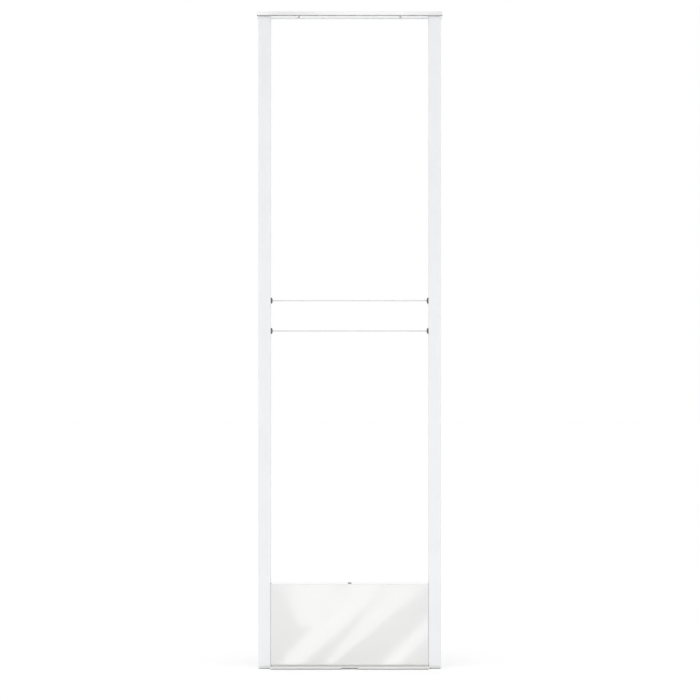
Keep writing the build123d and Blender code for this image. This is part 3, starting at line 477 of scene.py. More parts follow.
def routed(points, bends):
    # a line of straight runs in millimetres with its corners rounded, in metres
    runs = [Vector(point) / 1000 for point in points]
    line = [runs[0]]
    for before, corner, after, bend in zip(runs, runs[1:], runs[2:], bends):
        inward = (before - corner).normalized()
        outward = (after - corner).normalized()
        half = inward.angle(outward) / 2
        if half > bendRules["straight"]:
            continue
        most = [(end - corner).length * bendRules["share"] for end in (before, after)]
        back = min(bend / 1000 / math.tan(half), *most)
        first, last = corner + inward * back, corner + outward * back
        for step in range(bendRules["steps"] + 1):
            share = step / bendRules["steps"]
            line.append(first.lerp(corner, share).lerp(corner.lerp(last, share), share))
    line.append(runs[-1])
    return line


# sharp edges of the carried-over shapes are broken, in metres
edgeBreaks = {
    "post_left": 0.0002, "post_right": 0.0002, "top_cap": 0.0006, "top_rail": 0.0003,
    "base_plate": 0.0002, "base_seal": 0.0002, "cover_sill_front": 0.0002,
    "cover_sill_rear": 0.0002, "mounting_plate": 0.0002, "latch_bracket_front": 0.0002,
    "latch_bracket_rear": 0.0002, "wire_bushes": 0.0004, "control_board": 0.0001,
    "antenna_terminal_left": 0.0002, "antenna_terminal_right": 0.0002, "power_terminal": 0.0003,
    "heat_sink": 0.0002, "chips": 0.0001, "dial_bodies": 0.0002, "trimmer_base": 0.0002,
    "mode_switch_body": 0.00015, "power_module": 0.0005, "lead_bush": 0.0002,
    "board_standoffs": 0.0001,
}
for nodeName, width in edgeBreaks.items():
    softened(nodeName, width)

# each of these is a body of its own and has the body's name
coverEdge, adjusterEdge = 0.0004, 0.0001
for nodeName in ("front_cover", "rear_cover"):
    softened(nodeName, coverEdge, segments=3, body=nodeName)
for nodeName in ("range_dial", "volume_dial", "delay_dial", "trimmer_rotor",
                 "mode_lever_1", "mode_lever_2", "mode_lever_3", "mode_lever_4"):
    softened(nodeName, adjusterEdge, body=nodeName)
print("edges broken")

# rubber grommets: a domed flange on the post, a neck through its wall and a lip inside
grommetMeasures = {
    "radius": 7.5, "stand": 4.3, "bore": 1.55, "nose": 2.5, "rim": 0.9, "rimEdge": 0.3,
    "neck": 4.9, "neckEnd": 2.0, "lip": 6.2, "lipStart": 2.2, "lipEnd": 3.5,
    "face": 0.1925, "heights": (0.822, 0.896), "domeSteps": 8,
}


def makeGrommets(radius, stand, bore, nose, rim, rimEdge, neck, neckEnd, lip, lipStart, lipEnd,
                 face, heights, domeSteps):
    profile = [(bore, -lipEnd), (lip, -lipEnd), (lip, -lipStart), (neck, -neckEnd)]
    profile += [(neck, 0), (radius - rimEdge, 0)]
    profile += arcPoints((radius - rimEdge, rimEdge), rimEdge, -90, 0, 3)
    for step in range(domeSteps + 1):
        angle = math.pi / 2 * step / domeSteps
        across = nose + (radius - nose) * math.cos(angle)
        profile.append((across, rim + (stand - rim) * math.sin(angle)))
    profile += [(bore + rimEdge, stand), (bore, stand - rimEdge), (bore, -lipEnd)]
    build = bmesh.new()
    for height in heights:
        addLathe(build, profile, (-face, 0, height), "+X")
        addLathe(build, profile, (face, 0, height), "-X")
    piece = newPiece("crossbarGrommets", build, "darkRubber")
    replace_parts(piece, "crossbar_grommets")


makeGrommets(**grommetMeasures)

# screws of the cap: cone heads that hang under the rail
capScrewMeasures = {
    "x": 0.124, "under": 1.5898, "drop": 3.2, "slot": (0.9, 2.2, 1.4),
    "profile": [(0, -6.7), (1.6, -6.7), (1.6, 0), (2.0, 0), (3.4, 1.7), (3.6, 2.0), (3.6, 2.7),
                (3.45, 3.05), (3.1, 3.2), (0, 3.2)],
}


def makeCapScrews(x, under, drop, slot, profile):
    build = bmesh.new()
    for side in (-1, 1):
        addLathe(build, profile, (side * x, 0, under), "-Z", steps=40)
    piece = newPiece("capScrews", build, "zincScrew")
    faces = [(side * x, 0, under - drop / 1000) for side in (-1, 1)]
    cutAway(piece, crossSlots(faces, "-Z", *slot))
    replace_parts(piece, "cap_screws")


makeCapScrews(**capScrewMeasures)

# quarter-turn locks of the covers: stud, collar, slotted head and the cam at the foot
lockMeasures = {
    "y": 0.017, "low": 196.2, "stud": 2.0, "edge": 0.2,
    "collar": (201.4, 202.7), "collarRadius": 3.6,
    "head": (206.3, 207.6), "headRadius": 4.5, "headArc": 0.7,
    "camReach": 7.0, "camHalf": 1.8, "camThick": 2, "camEdge": 0.35,
    "slot": 0.9, "slotDepth": 0.6, "slotReach": 6,
}


def makeLock(name, nodeName, body, measures, side, finishName):
    low, stud, edge = measures["low"], measures["stud"], measures["edge"]
    (collarLow, collarTop), collar = measures["collar"], measures["collarRadius"]
    (headLow, headTop), head, arc = measures["head"], measures["headRadius"], measures["headArc"]
    profile = [(0, low), (stud - edge, low), (stud, low + edge), (stud, collarLow)]
    profile += [(collar - edge, collarLow), (collar, collarLow + edge)]
    profile += [(collar, collarTop - edge), (collar - edge, collarTop), (stud, collarTop)]
    profile += [(stud, headLow), (head - edge, headLow), (head, headLow + edge)]
    profile += arcPoints((head - arc, headTop - arc), arc, 0, 90, 5) + [(0, headTop)]
    place = (0, side * measures["y"], 0)
    build = bmesh.new()
    addLathe(build, profile, place)
    middle = place[1] * 1000
    near, far = sorted((0, -side * measures["camReach"]))
    half = measures["camHalf"]
    addBlock(build, (near, middle - half, low), (far, middle + half, low + measures["camThick"]),
             measures["camEdge"])
    piece = newPiece(name, build, finishName, body)
    cutter = bmesh.new()
    half, reach = measures["slot"] / 2, measures["slotReach"]
    addBlock(cutter, (-half, middle - reach, headTop - measures["slotDepth"]),
             (half, middle + reach, headTop + 1))
    cutAway(piece, plainObject("slotCutter", cutter))
    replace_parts(piece, nodeName)


makeLock("frontLockStud", "front_cover_lock", "front_lock",
         lockMeasures, -1, "dulledBrass")
makeLock("rearLockStud", "rear_cover_lock", "rear_lock",
         lockMeasures, 1, "brightSteel")

# screws with cross recesses: their heads in millimetres, their places in metres
screwHeads = {
    "mount": {"radius": 3.4, "height": 2.2, "shank": 7.2, "core": 1.7},
    "board": {"radius": 2.7, "height": 1.8, "shank": 4.5, "core": 1.4},
    "rail": {"radius": 3.6, "height": 2.2, "shank": 20.0, "core": 1.7},
}
mountPlaces = [(x / 1000, -0.009, 0.0075) for x in (-110, 110)]
mountPlaces += [(x / 1000, 0.009, 0.0075) for x in (-60, 60)]
boardPlaces = [(x / 1000, -0.00665, z / 1000) for x in (-102, 102) for z in (72.4, 148)]
boardPlaces += [(0, -0.00665, 0.046), (0, -0.00665, 0.148)]
railPlaces = [(x / 1000, y / 1000, 1.5923) for x in (-207.5, 207.5) for y in (-20.3, 20.3)]
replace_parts(screws("mountScrews", mountPlaces, "+Z", screwHeads["mount"]), "mount_screws")
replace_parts(screws("boardScrews", boardPlaces, "-Y", screwHeads["board"]), "board_screws")
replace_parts(screws("railScrews", railPlaces, "+Z", screwHeads["rail"]), "rail_screws")

# rivets through the latch brackets
rivetMeasures = {
    "across": (-0.009, 0.009), "height": 0.187,
    "profile": [(0, 0), (1.6, 0), (1.6, 2.35), (2.9, 2.35), (2.8, 2.7), (2.2, 3.1), (1.2, 3.25),
                (0, 3.25)],
}


def makeRivets(across, height, profile):
    build = bmesh.new()
    for x in across:
        for axis in ("+Y", "-Y"):
            addLathe(build, profile, (x, 0, height), axis, steps=32)
    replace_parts(newPiece("bracketRivets", build, "zincScrew"), "bracket_rivets")


makeRivets(**rivetMeasures)
print("fasteners made")

# wires: the loops run up one post, across and down the other; leads serve lights and board
wireMeasures = {
    "outlet": 180.5, "nearBlock": 126.0, "inBlock": 105.0, "plane": -11.65,
    "levels": (64, 60, 56), "lanes": (206.0, 210.5, 215.0), "bars": (822, 896),
    "ceiling": (198.5, -8, 1595.5), "strip": (186, 194, 8, 1595.0),
    "module": (-80, 8.75, 106), "through": 178, "clamp": 155,
    "loopRadius": 0.8, "lightRadius": 1.0, "powerRadius": 1.6,
}


def toTerminal(side, height, measures):
    return [
        (side * measures["outlet"], 0, height),
        (side * measures["nearBlock"], measures["plane"], height),
        (side * measures["inBlock"], measures["plane"], height),
    ]


def makeWires(measures):
    inner, middle, outer = measures["lanes"]
    top, mid, bottom = measures["levels"]
    lowBar, highBar = measures["bars"]
    roofX, roofY, roof = measures["ceiling"]
    low = toTerminal(-1, top, measures)[::-1] + [(-inner, 0, top), (-inner, 0, lowBar)]
    low += [(inner, 0, lowBar), (inner, 0, top)] + toTerminal(1, top, measures)
    high = toTerminal(-1, bottom, measures)[::-1] + [(-outer, 0, bottom), (-outer, 0, roof)]
    high += [(-roofX, roofY, roof), (roofX, roofY, roof), (middle, 0, roof)]
    high += [(middle, 0, highBar), (-middle, 0, highBar), (-middle, 0, mid)]
    high += toTerminal(-1, mid, measures)
    stripEnd, stripOut, stripY, stripZ = measures["strip"]
    light = [(stripEnd, stripY, stripZ), (stripOut, stripY, stripZ), (outer, 0, stripZ)]
    light += [(outer, 0, bottom)] + toTerminal(1, bottom, measures)
    x, y, z = measures["module"]
    through, plane = measures["through"], measures["plane"]
    power = [(x, y, z), (x, y, through), (x, plane, through), (x, plane, measures["clamp"])]
    # route, radius of each bend, radius of the wire, finish and node
    routes = {
        "lowerLoopWire": (low, [60, 60, 9, 9, 9, 9, 60, 60], measures["loopRadius"],
                          "wireSleeve", "lower_loop_wire"),
        "upperLoopWire": (high, [60, 60, 9, 8, 12, 12, 6, 9, 9, 9, 60, 60],
                          measures["loopRadius"], "wireSleeve", "upper_loop_wire"),
        "lightLead": (light, [12, 6, 9, 60, 60], measures["lightRadius"],
                      "leadSleeve", "light_lead"),
        "powerLead": (power, [8, 8], measures["powerRadius"], "leadSleeve", "power_lead"),
    }
    for name, (points, bends, radius, finishName, nodeName) in routes.items():
        build = bmesh.new()
        addTube(build, routed(points, bends), radius / 1000)
        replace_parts(newPiece(name, build, finishName), nodeName)


makeWires(wireMeasures)
print("wires laid")

# thin slide strips on the posts, in the gaps beside the covers, in millimetres
slideStrips = {
    "face": 192.2, "back": 192.55, "front": 24.2, "end": 14.0, "low": 9.6, "top": 203.6,
    "edge": 0.04,
}


def makeSlideStrips(face, back, front, end, low, top, edge):
    build = bmesh.new()
    for side in (-1, 1):
        xs = sorted((side * face, side * back))
        for way in (-1, 1):
            ys = sorted((way * front, way * end))
            addBlock(build, (xs[0], ys[0], low), (xs[1], ys[1], top), edge)
    newPiece("slideStrips", build, "whitePaint")


makeSlideStrips(**slideStrips)

# what stands on the control board; x and z of the board's front, in millimetres
boardFace = -6.65
chipPlaces = {
    "main": {"x": -8, "z": 95, "size": (20, 20), "sides": 4, "legs": 14, "tracks": (-1, 1)},
    "driver": {"x": 24, "z": 96, "size": (12, 16), "sides": 2, "legs": 11, "tracks": (1,)},
    "receiver": {"x": -42, "z": 102, "size": (10, 14), "sides": 2, "legs": 9, "tracks": (-1,)},
}
# a leg has three runs: from and to outside the chip, then from and to above the board
legMeasures = {
    "pitch": 1.27, "half": 0.22,
    "runs": ((-0.1, 0.75, 0.75, 0.93), (0.6, 0.78, 0.05, 0.93), (0.6, 1.5, 0.05, 0.22)),
}


def onBoard(x, z, drop=0.0):
    # a place on the board's front, in metres
    return Vector((x, boardFace - drop, z)) / 1000


def legOffset(chip, leg):
    # how far a leg stands from the middle of its row
    return (leg - (chip["legs"] - 1) / 2) * legMeasures["pitch"]


def addLeg(build, chip, side, along):
    # one leg on the chip's left, right, top or bottom
    upright = side < 2
    half = chip["size"][0 if upright else 1] / 2
    sign = -1 if side % 2 == 0 else 1
    span = (along - legMeasures["half"], along + legMeasures["half"])
    for start, end, low, high in legMeasures["runs"]:
        across = sorted((sign * (half + start), sign * (half + end)))
        xs, zs = (across, span) if upright else (span, across)
        addBlock(build, (chip["x"] + xs[0], boardFace - high, chip["z"] + zs[0]),
                 (chip["x"] + xs[1], boardFace - low, chip["z"] + zs[1]))


def makeLegs(places):
    build = bmesh.new()
    for chip in places.values():
        for side in range(chip["sides"]):
            for leg in range(chip["legs"]):
                addLeg(build, chip, side, legOffset(chip, leg))
    newPiece("chipLegs", build, "tinned")


makeLegs(chipPlaces)

# small soldered pieces: rows of (x, z, step in x, step in z, how many, long way)
smallParts = {
    "rows": [
        (-30, 78, 4, 0, 8, "z"), (-30, 84, 4, 0, 3, "z"), (8, 80, 4, 0, 8, "z"),
        (-26, 112, 4, 0, 9, "z"), (12, 112, 4, 0, 9, "z"), (38, 128, 5, 0, 10, "z"),
        (-44, 86, 4, 0, 4, "z"), (-54, 96, 0, 4, 5, "x"), (42, 94, 0, 4, 4, "x"),
        (-92, 70, 5, 0, 7, "z"), (-30, 58, 5, 0, 6, "z"), (14, 56, 5, 0, 5, "z"),
        (-96, 134, 0, 4, 4, "x"), (92, 62, 0, 5, 5, "x"), (-24, 138, 4, 0, 5, "z"),
        (26, 140, 0, 4, 3, "x"),
    ],
    "sizes": ((2.0, 1.3), (1.6, 1.2)), "lowest": 0.5, "taller": 0.15,
    "cap": 0.35, "grow": 0.03, "edge": 0.06,
    # the solder's reach past the tip and under it; its added half width, height and edge
    "past": 0.5, "under": 0.1, "pad": (0.2, 0.12, 0.04),
}


def makeSmallParts(rows, sizes, lowest, taller, cap, grow, edge, past, under, pad):
    bodies, caps, solder = bmesh.new(), bmesh.new(), bmesh.new()
    for row, (x, z, stepX, stepZ, count, way) in enumerate(rows):
        for place in range(count):
            midX, midZ = x + place * stepX, z + place * stepZ
            tall = lowest + taller * ((row + place) % 3)
            long, wide = sizes[row % 2]
            tip = long / 2
            for part, start, end, wider, height, broken in (
                (bodies, -tip + cap, tip - cap, 0, tall, edge),
                (caps, -tip, -tip + cap + grow, grow, tall + grow, edge),
                (caps, tip - cap - grow, tip, grow, tall + grow, edge),
                (solder, -tip - past, -tip + under, *pad),
                (solder, tip - under, tip + past, *pad),
            ):
                half = wide / 2 + wider
                xs, zs = ((start, end), (-half, half)) if way == "x" else (
                    (-half, half), (start, end))
                addBlock(part, (midX + xs[0], boardFace - height, midZ + zs[0]),
                         (midX + xs[1], boardFace, midZ + zs[1]), broken)
    newPiece("smallPartBodies", bodies, "partBrown")
    newPiece("smallPartCaps", caps, "tinned")
    newPiece("solderPads", solder, "tinned")


makeSmallParts(**smallParts)

# copper tracks under the board's green coat, as lines of (x, z) points
trackMeasures = {
    # the fans at the chips: gap, shortest run, how much they spread and the last run
    "gap": 1.4, "run": 2.5, "spread": 0.55, "last": 3,
    "shortest": 0.1, "half": 0.16, "over": 0.12, "thick": 0.04, "thicker": 0.008,
    "padProfile": [(0.55, 0), (0.5, 0.08), (0.2, 0.08), (0.2, 0)],
}


def chipTracks(chip, measures):
    # lines that fan out up and down from a four-sided chip, and sideways from the others
    half = chip["size"][0] / 2 + measures["gap"]
    lines = []
    for leg in range(chip["legs"]):
        along = legOffset(chip, leg)
        run, fan = measures["run"] + leg * 5 % 7, along * measures["spread"]
        end = (half + run + abs(fan), along + fan)
        # how far out from the chip, and how far along its side
        line = [(half, along), (half + run, along), end, (end[0] + measures["last"], end[1])]
        for sign in chip["tracks"]:
            if chip["sides"] == 4:
                lines.append([(chip["x"] + side, chip["z"] + sign * out) for out, side in line])
            else:
                lines.append([(chip["x"] + sign * out, chip["z"] + side) for out, side in line])
    return lines


def looseTracks():
    # lines at the board's edges and between the rows of small pieces
    lines = []
    for step in range(6):
        level = 57 + step * 1.6
        lines.append([(-98, level), (-70 - step, level), (-60 - step, 67 + step * 1.6)])
        lines.append([(98, level), (84 + step, level), (78 + step, 51 + step * 1.6)])
        x = 44 + step * 6
        lines.append([(x, 136), (x, 130), (40 + step * 5, 126)])
    for step in range(9):
        x, dip = -24 + step * 4, step % 3
        lines.append([(x, 77), (x, 70 - dip), (x + 4, 66 - dip)])
    return lines


def makeTracks(lines, measures):
    build = bmesh.new()
    half = measures["half"]
    for line in lines:
        for place, ((ax, az), (bx, bz)) in enumerate(zip(line, line[1:])):
            length = math.hypot(bx - ax, bz - az)
            if length < measures["shortest"]:
                continue
            x, z = (ax + bx) / 2, (az + bz) / 2
            turn = Matrix.Rotation(-math.atan2(bz - az, bx - ax), 3, "Y")
            # each run is a little thicker than the last, so no two faces lie in one plane
            thick = measures["thick"] + measures["thicker"] * place
            reach = length / 2 + measures["over"]
            addBlock(build, (x - reach, boardFace - thick, z - half),
                     (x + reach, boardFace, z + half), 0, turn)
        for x, z in (line[0], line[-1]):
            addLathe(build, measures["padProfile"], onBoard(x, z), "-Y", steps=12)
    newPiece("boardTracks", build, "trackGreen")


fanned = [line for chip in chipPlaces.values() for line in chipTracks(chip, trackMeasures)]
makeTracks(fanned + looseTracks(), trackMeasures)

# ring coils: a ferrite core wound with enamelled wire
coilMeasures = {
    "places": ((-80, 90), (-80, 116)), "middle": 7.25, "half": 2.75, "thick": 7.0,
    "turns": 26, "turnSteps": 18, "wire": 0.4, "start": 20, "sweep": 320, "squareness": 0.45,
    "coreInset": 1, "coreFoot": 0.9, "coreEdge": 0.5,
}


def squared(value, power):
    # bends a sine wave towards a square one, for wire that lies flat on its core
    return math.copysign(abs(value) ** power, value)


def makeCoils(places, middle, half, thick, turns, turnSteps, wire, start, sweep, squareness,
              coreInset, coreFoot, coreEdge):
    core, winding = bmesh.new(), bmesh.new()
    reach, low, high, edge = half - coreInset, coreFoot, thick - coreFoot, coreEdge
    inner, outer = middle - reach, middle + reach
    profile = [(inner, low + edge), (inner + edge, low), (outer - edge, low)]
    profile += [(outer, low + edge), (outer, high - edge), (outer - edge, high)]
    profile += [(inner + edge, high), (inner, high - edge), (inner, low + edge)]
    total = turns * turnSteps
    for x, z in places:
        place = onBoard(x, z)
        addLathe(core, profile, place, "-Y", steps=40)
        points = []
        for step in range(total):
            bearing = math.radians(start) + math.radians(sweep) * step / total
            wound = 2 * math.pi * turns * step / total
            across = middle + (half - wire) * squared(math.cos(wound), squareness)
            rise = thick / 2 + (thick / 2 - wire) * squared(math.sin(wound), squareness)
            point = Vector((across * math.cos(bearing), -rise, across * math.sin(bearing)))
            points.append(place + point / 1000)
        addTube(winding, points, wire / 1000, steps=7)
    piece = newPiece("coilCores", core, "ferrite")
    newPiece("coilWindings", winding, "copperWinding", angle=60)
    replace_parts(piece, "coupling_coils")


makeCoils(**coilMeasures)

# round storage capacitors, each with its x, z, radius and height
canMeasures = {
    "places": [(56, 62, 5.0, 11.5), (70, 62, 5.0, 11.5), (40, 74, 4.0, 9.0)],
    "foot": 0.3, "groove": (1.2, 1.5, 1.8), "grooveDepth": 0.25,
    "shoulder": 0.5, "shoulderStart": 0.6, "lip": 0.9, "rim": 1.0, "under": 0.2,
    "sunk": 0.25, "shown": 0.1, "slot": (0.3, 2.6, 0.1),
}


def makeCans(places, foot, groove, grooveDepth, shoulder, shoulderStart, lip, rim, under,
             sunk, shown, slot):
    sleeves, tops = bmesh.new(), bmesh.new()
    marks = []
    start, middle, end = groove
    for x, z, radius, height in places:
        place, disc = onBoard(x, z), radius - rim
        profile = [(0, 0), (radius - foot, 0), (radius, foot), (radius, start)]
        profile += [(radius - grooveDepth, middle), (radius, end)]
        profile += [(radius, height - shoulderStart)]
        profile += arcPoints((radius - shoulder, height - shoulder), shoulder, 0, 90, 4)
        profile += [(radius - lip, height), (disc, height - under), (0, height - under)]
        addLathe(sleeves, profile, place, "-Y", steps=40)
        low, high = height - sunk, height - shown
        addLathe(tops, [(0, low), (disc, low), (disc, high), (0, high)], place, "-Y", steps=40)
        marks.append(place + Vector((0, -high / 1000, 0)))
    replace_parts(newPiece("capacitorSleeves", sleeves, "sleeveBlue"), "capacitors")
    discs = newPiece("capacitorTops", tops, "tinned")
    cutAway(discs, crossSlots(marks, "-Y", *slot))


makeCans(**canMeasures)

# sounder: a round case with a ring and a sound hole in its lid
sounderMeasures = {
    "place": (-62, 138), "radius": 12, "height": 9, "shoulder": 0.8,
    "lid": [(8.6, 9), (8.4, 8.8), (3.0, 8.8), (2.8, 9), (1.8, 9), (1.6, 8.8), (1.6, 5), (0, 5)],
}


def makeSounder(place, radius, height, shoulder, lid):
    profile = [(0, 0), (radius, 0), (radius, height - shoulder)]
    profile += arcPoints((radius - shoulder, height - shoulder), shoulder, 0, 90, 5)
    build = bmesh.new()
    addLathe(build, profile + lid, onBoard(*place), "-Y", steps=64)
    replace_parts(newPiece("sounderCase", build, "chipBlack"), "sounder")


makeSounder(**sounderMeasures)

# indicator lamps with a rim and a domed end; angles up the dome in radians
lampMeasures = {
    "xs": (-30, -22, -14), "z": 148, "rimRadius": 1.8, "rim": 0.8, "radius": 1.5, "straight": 2.5,
    "domeAngles": (0.3, 0.6, 0.9, 1.2, 1.45),
}


def makeIndicators(xs, z, rimRadius, rim, radius, straight, domeAngles):
    profile = [(0, 0), (rimRadius, 0), (rimRadius, rim), (radius, rim), (radius, straight)]
    for angle in domeAngles:
        profile.append((radius * math.cos(angle), straight + radius * math.sin(angle)))
    profile += [(0, straight + radius)]
    build = bmesh.new()
    for x in xs:
        addLathe(build, profile, onBoard(x, z), "-Y", steps=28)
    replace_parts(newPiece("indicatorLamps", build, "lightYellow"), "status_lights")


makeIndicators(**lampMeasures)

# slotted screws in the terminals: places, how far in front of the board, size and slot
terminalScrews = [
    {
        "places": [(side * 102.56, z) for side in (-1, 1) for z in (56, 60, 64)],
        "drop": 8.5, "slot": (0.17, 17, 15.75),
        "profile": [(0, 0.3), (1.15, 0.3), (1.15, 0.8), (1.0, 0.95), (0, 0.95)],
    },
    {
        "places": [(x, 153.5) for x in (-83.2, -76.8)],
        "drop": 10.0, "slot": (0.2, 18, 16.85),
        "profile": [(0, -0.5), (1.6, -0.5), (1.6, 0.3), (1.4, 0.5), (0, 0.5)],
    },
]


def makeTerminalScrews(kinds):
    build, slots = bmesh.new(), bmesh.new()
    for kind in kinds:
        half, front, back = kind["slot"]
        for x, z in kind["places"]:
            addLathe(build, kind["profile"], onBoard(x, z, kind["drop"]), "-Y", steps=24)
            addBlock(slots, (x - 2, -front, z - half), (x + 2, -back, z + half))
    cutAway(newPiece("terminalScrews", build, "tinned"), plainObject("slotCutter", slots))


makeTerminalScrews(terminalScrews)

# tick marks round the dials, in degrees and millimetres
tickMeasures = {
    "dials": (44, 60, 76), "z": 143, "radius": 3.9, "count": 11, "first": -135, "apart": 27,
    "half": (0.1, 0.35), "depth": (5.03, 4.98),
}


def makeTicks(dials, z, radius, count, first, apart, half, depth):
    build = bmesh.new()
    (wide, long), (low, high) = half, depth
    for dial in dials:
        for step in range(count):
            angle = math.radians(first + apart * step)
            midX, midZ = dial + radius * math.sin(angle), z + radius * math.cos(angle)
            turn = Matrix.Rotation(angle, 3, "Y")
            addBlock(build, (midX - wide, boardFace - low, midZ - long),
                     (midX + wide, boardFace - high, midZ + long), 0, turn)
    newPiece("dialTicks", build, "leverWhite")


makeTicks(**tickMeasures)
print("board fitted")

# stage: a pale floor, soft light all round, and cards that only reflections show
stageSetup = {
    "floorHalf": 20.0,
    "floorColour": 0.85,
    "floorGlow": 0.17,
    "worldLight": 0.56,
    "lamps": [
        {"name": "frontLeft", "turn": (58, 0, -35), "strength": 0.42, "spread": 50},
        {"name": "frontRight", "turn": (62, 0, 38), "strength": 0.34, "spread": 50},
        {"name": "left", "turn": (65, 0, -76), "strength": 0.5, "spread": 50},
        {"name": "right", "turn": (65, 0, 76), "strength": 0.5, "spread": 50},
        {"name": "back", "turn": (-55, 0, 10), "strength": 0.5, "spread": 50},
        {"name": "top", "turn": (0, 0, 0), "strength": 0.25, "spread": 60},
    ],
    "lowFill": {"place": (0, -2.5, 0.5), "size": 2.0, "watts": 10.0},
}


def seenDirectly(tree):
    # 1 for camera, mirror and glass rays, 0 for the light that falls on surfaces
    rays = tree.nodes.new("ShaderNodeLightPath").outputs
    seen = computed(tree, "MAXIMUM", rays["Is Camera Ray"], rays["Is Glossy Ray"])
    return computed(tree, "MAXIMUM", seen, rays["Is Transmission Ray"])


def makeFloor(setup):
    half = setup["floorHalf"]
    corners = [(-half, -half, 0), (half, -half, 0), (half, half, 0), (-half, half, 0)]
    mesh = bpy.data.meshes.new("floor")
    mesh.from_pydata(corners, [], [(0, 1, 2, 3)])
    material, tree, output = newTree("floorPaper")
    paper = tree.nodes.new("ShaderNodeBsdfDiffuse")
    paper.inputs["Color"].default_value = (*[setup["floorColour"]] * 3, 1)
    glow = tree.nodes.new("ShaderNodeEmission")
    level = computed(tree, "MULTIPLY", seenDirectly(tree), setup["floorGlow"])
    tree.links.new(level, glow.inputs["Strength"])
    addShaders(tree, paper.outputs["BSDF"], glow.outputs["Emission"], output)
    mesh.materials.append(material)
    linked("floor", mesh)


def makeWorld(setup):
    world = bpy.data.worlds.new("studio")
    bpy.context.scene.world = world
    world.use_nodes = True
    tree = world.node_tree
    tree.nodes.clear()
    background = tree.nodes.new("ShaderNodeBackground")
    background.inputs["Color"].default_value = (1, 1, 1, 1)
    strength = tree.nodes.new("ShaderNodeMapRange")
    strength.inputs["To Min"].default_value = setup["worldLight"]
    strength.inputs["To Max"].default_value = 1.0
    tree.links.new(seenDirectly(tree), strength.inputs["Value"])
    tree.links.new(strength.outputs["Result"], background.inputs["Strength"])
    output = tree.nodes.new("ShaderNodeOutputWorld")
    tree.links.new(background.outputs["Background"], output.inputs["Surface"])


def makeLamps(setup):
    for lamp in setup["lamps"]:
        light = bpy.data.lights.new(lamp["name"], "SUN")
        light.energy = lamp["strength"]
        light.angle = math.radians(lamp["spread"])
        holder = linked(lamp["name"], light)
        holder.rotation_euler = [math.radians(turn) for turn in lamp["turn"]]


def makeLowFill(place, size, watts):
    # a wide soft lamp low in front, a little stronger on the foot than on the top
    light = bpy.data.lights.new("lowFill", "AREA")
    light.energy = watts
    light.size = size
    holder = linked("lowFill", light)
    holder.location = place
    holder.rotation_euler = (math.radians(90), 0, 0)
    holder.visible_glossy = False


# the front cover's face, in metres
coverFace = {"y": -0.0245, "left": -0.1925, "width": 0.385, "low": 0.009, "height": 0.197}
# each card has a brightness and a softness of its sides; a cover band has its lower and upper
# height as shares of the face, and its left and right side at the foot and at the top
cardSetup = {
    "coverBands": [
        {"glow": 1.9, "soft": 0.35, "span": (-0.03, 1.03),
         "foot": (0.02, 0.24), "top": (0.42, 0.86)},
        {"glow": 1.6, "soft": 0.30, "span": (0.45, 1.03),
         "foot": (0.30, 0.09), "top": (-0.02, 0.58)},
        {"glow": 1.7, "soft": 0.35, "span": (-0.03, 1.03),
         "foot": (0.32, 0.41), "top": (0.70, 1.08)},
        {"glow": 2.0, "soft": 0.45, "span": (-0.03, 0.75),
         "foot": (0.66, 0.87), "top": (1.16, 1.38)},
    ],
    "bandSteps": 12,
    "overFloor": 0.003,
    "capBands": [
        {"glow": 3.0, "soft": 0.4, "x": (-0.36, 0.54), "y": -6.0, "z": (2.29, 2.53)},
        {"glow": 5.5, "soft": 0.4, "x": (-0.47, -0.38), "y": -6.0, "z": (2.29, 2.53)},
    ],
    "greyWall": {"glow": 0.1, "x": (-7.0, 7.0), "y": -9.0, "z": (0.2, 5.0)},
    "endSoftness": 0.05,
}


def mirroredOnFloor(across, up):
    # the floor point that the cover's face mirrors towards the camera at a place on the face
    face, eye = coverFace, cameraSetup["place"]
    x = face["left"] + face["width"] * across
    z = face["low"] + face["height"] * up
    share = z / (eye[2] - z)
    y = face["y"] - (face["y"] - eye[1]) * share
    return (x + (x - eye[0]) * share, y, cardSetup["overFloor"])


def cardMesh(name, rows):
    # a sheet through rows of two points, with places from 0 to 1 across and along it
    build = bmesh.new()
    lines = [[build.verts.new(point) for point in row] for row in rows]
    uv = build.loops.layers.uv.new("UVMap")
    for row, (low, high) in enumerate(zip(lines, lines[1:])):
        face = build.faces.new((low[0], low[1], high[1], high[0]))
        places = ((0, row), (1, row), (1, row + 1), (0, row + 1))
        for loop, (across, up) in zip(face.loops, places):
            loop[uv].uv = (across, up / (len(lines) - 1))
    mesh = bpy.data.meshes.new(name)
    build.to_mesh(mesh)
    build.free()
    return mesh


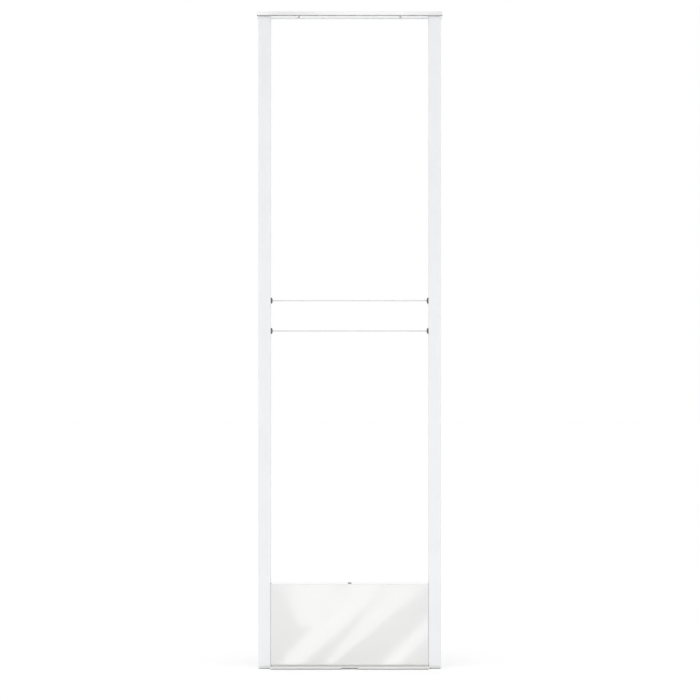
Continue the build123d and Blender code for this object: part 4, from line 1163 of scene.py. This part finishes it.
def addFade(tree, place, width):
    # 1 in the sheet's middle, falling to 0 over this width at both its edges
    rise = tree.nodes.new("ShaderNodeMapRange")
    rise.interpolation_type = "SMOOTHSTEP"
    rise.inputs["From Max"].default_value = width
    tree.links.new(computed(tree, "PINGPONG", place, 0.5), rise.inputs["Value"])
    return rise.outputs["Result"]


def cardGlow(name, glow, soft):
    # light added to what is behind the sheet, faded at its edges; without soft it's opaque
    material, tree, output = newTree(name)
    light = tree.nodes.new("ShaderNodeEmission")
    light.inputs["Strength"].default_value = glow
    if not soft:
        tree.links.new(light.outputs["Emission"], output.inputs["Surface"])
        return material
    split = tree.nodes.new("ShaderNodeSeparateXYZ")
    tree.links.new(tree.nodes.new("ShaderNodeTexCoord").outputs["UV"], split.inputs["Vector"])
    sides = computed(tree, "MULTIPLY", addFade(tree, split.outputs["X"], soft), glow)
    ends = addFade(tree, split.outputs["Y"], cardSetup["endSoftness"])
    tree.links.new(computed(tree, "MULTIPLY", ends, sides), light.inputs["Strength"])
    clear = tree.nodes.new("ShaderNodeBsdfTransparent")
    addShaders(tree, clear.outputs["BSDF"], light.outputs["Emission"], output)
    return material


def makeCard(name, rows, glow, soft=None):
    # a glowing sheet that only mirror rays meet
    mesh = cardMesh(name, rows)
    mesh.materials.append(cardGlow(name, glow, soft))
    card = linked(name, mesh)
    card.visible_camera = card.visible_diffuse = card.visible_shadow = False
    card.visible_transmission = card.visible_volume_scatter = False


def standingRows(card):
    return [[(x, card["y"], z) for x in card["x"]] for z in card["z"]]


def makeCards(setup):
    for band in setup["coverBands"]:
        rows = []
        start, end = band["span"]
        for step in range(setup["bandSteps"] + 1):
            up = start + (end - start) * step / setup["bandSteps"]
            left, right = (foot + (top - foot) * up for foot, top in zip(band["foot"], band["top"]))
            rows.append([mirroredOnFloor(left, up), mirroredOnFloor(right, up)])
        makeCard("coverBand", rows, band["glow"], band["soft"])
    for band in setup["capBands"]:
        makeCard("capBand", standingRows(band), band["glow"], band["soft"])
    wall = setup["greyWall"]
    makeCard("greyWall", standingRows(wall), wall["glow"])


makeFloor(stageSetup)
makeWorld(stageSetup)
makeLamps(stageSetup)
makeLowFill(**stageSetup["lowFill"])
makeCards(cardSetup)
print("stage set")

bpy.context.view_layer.update()
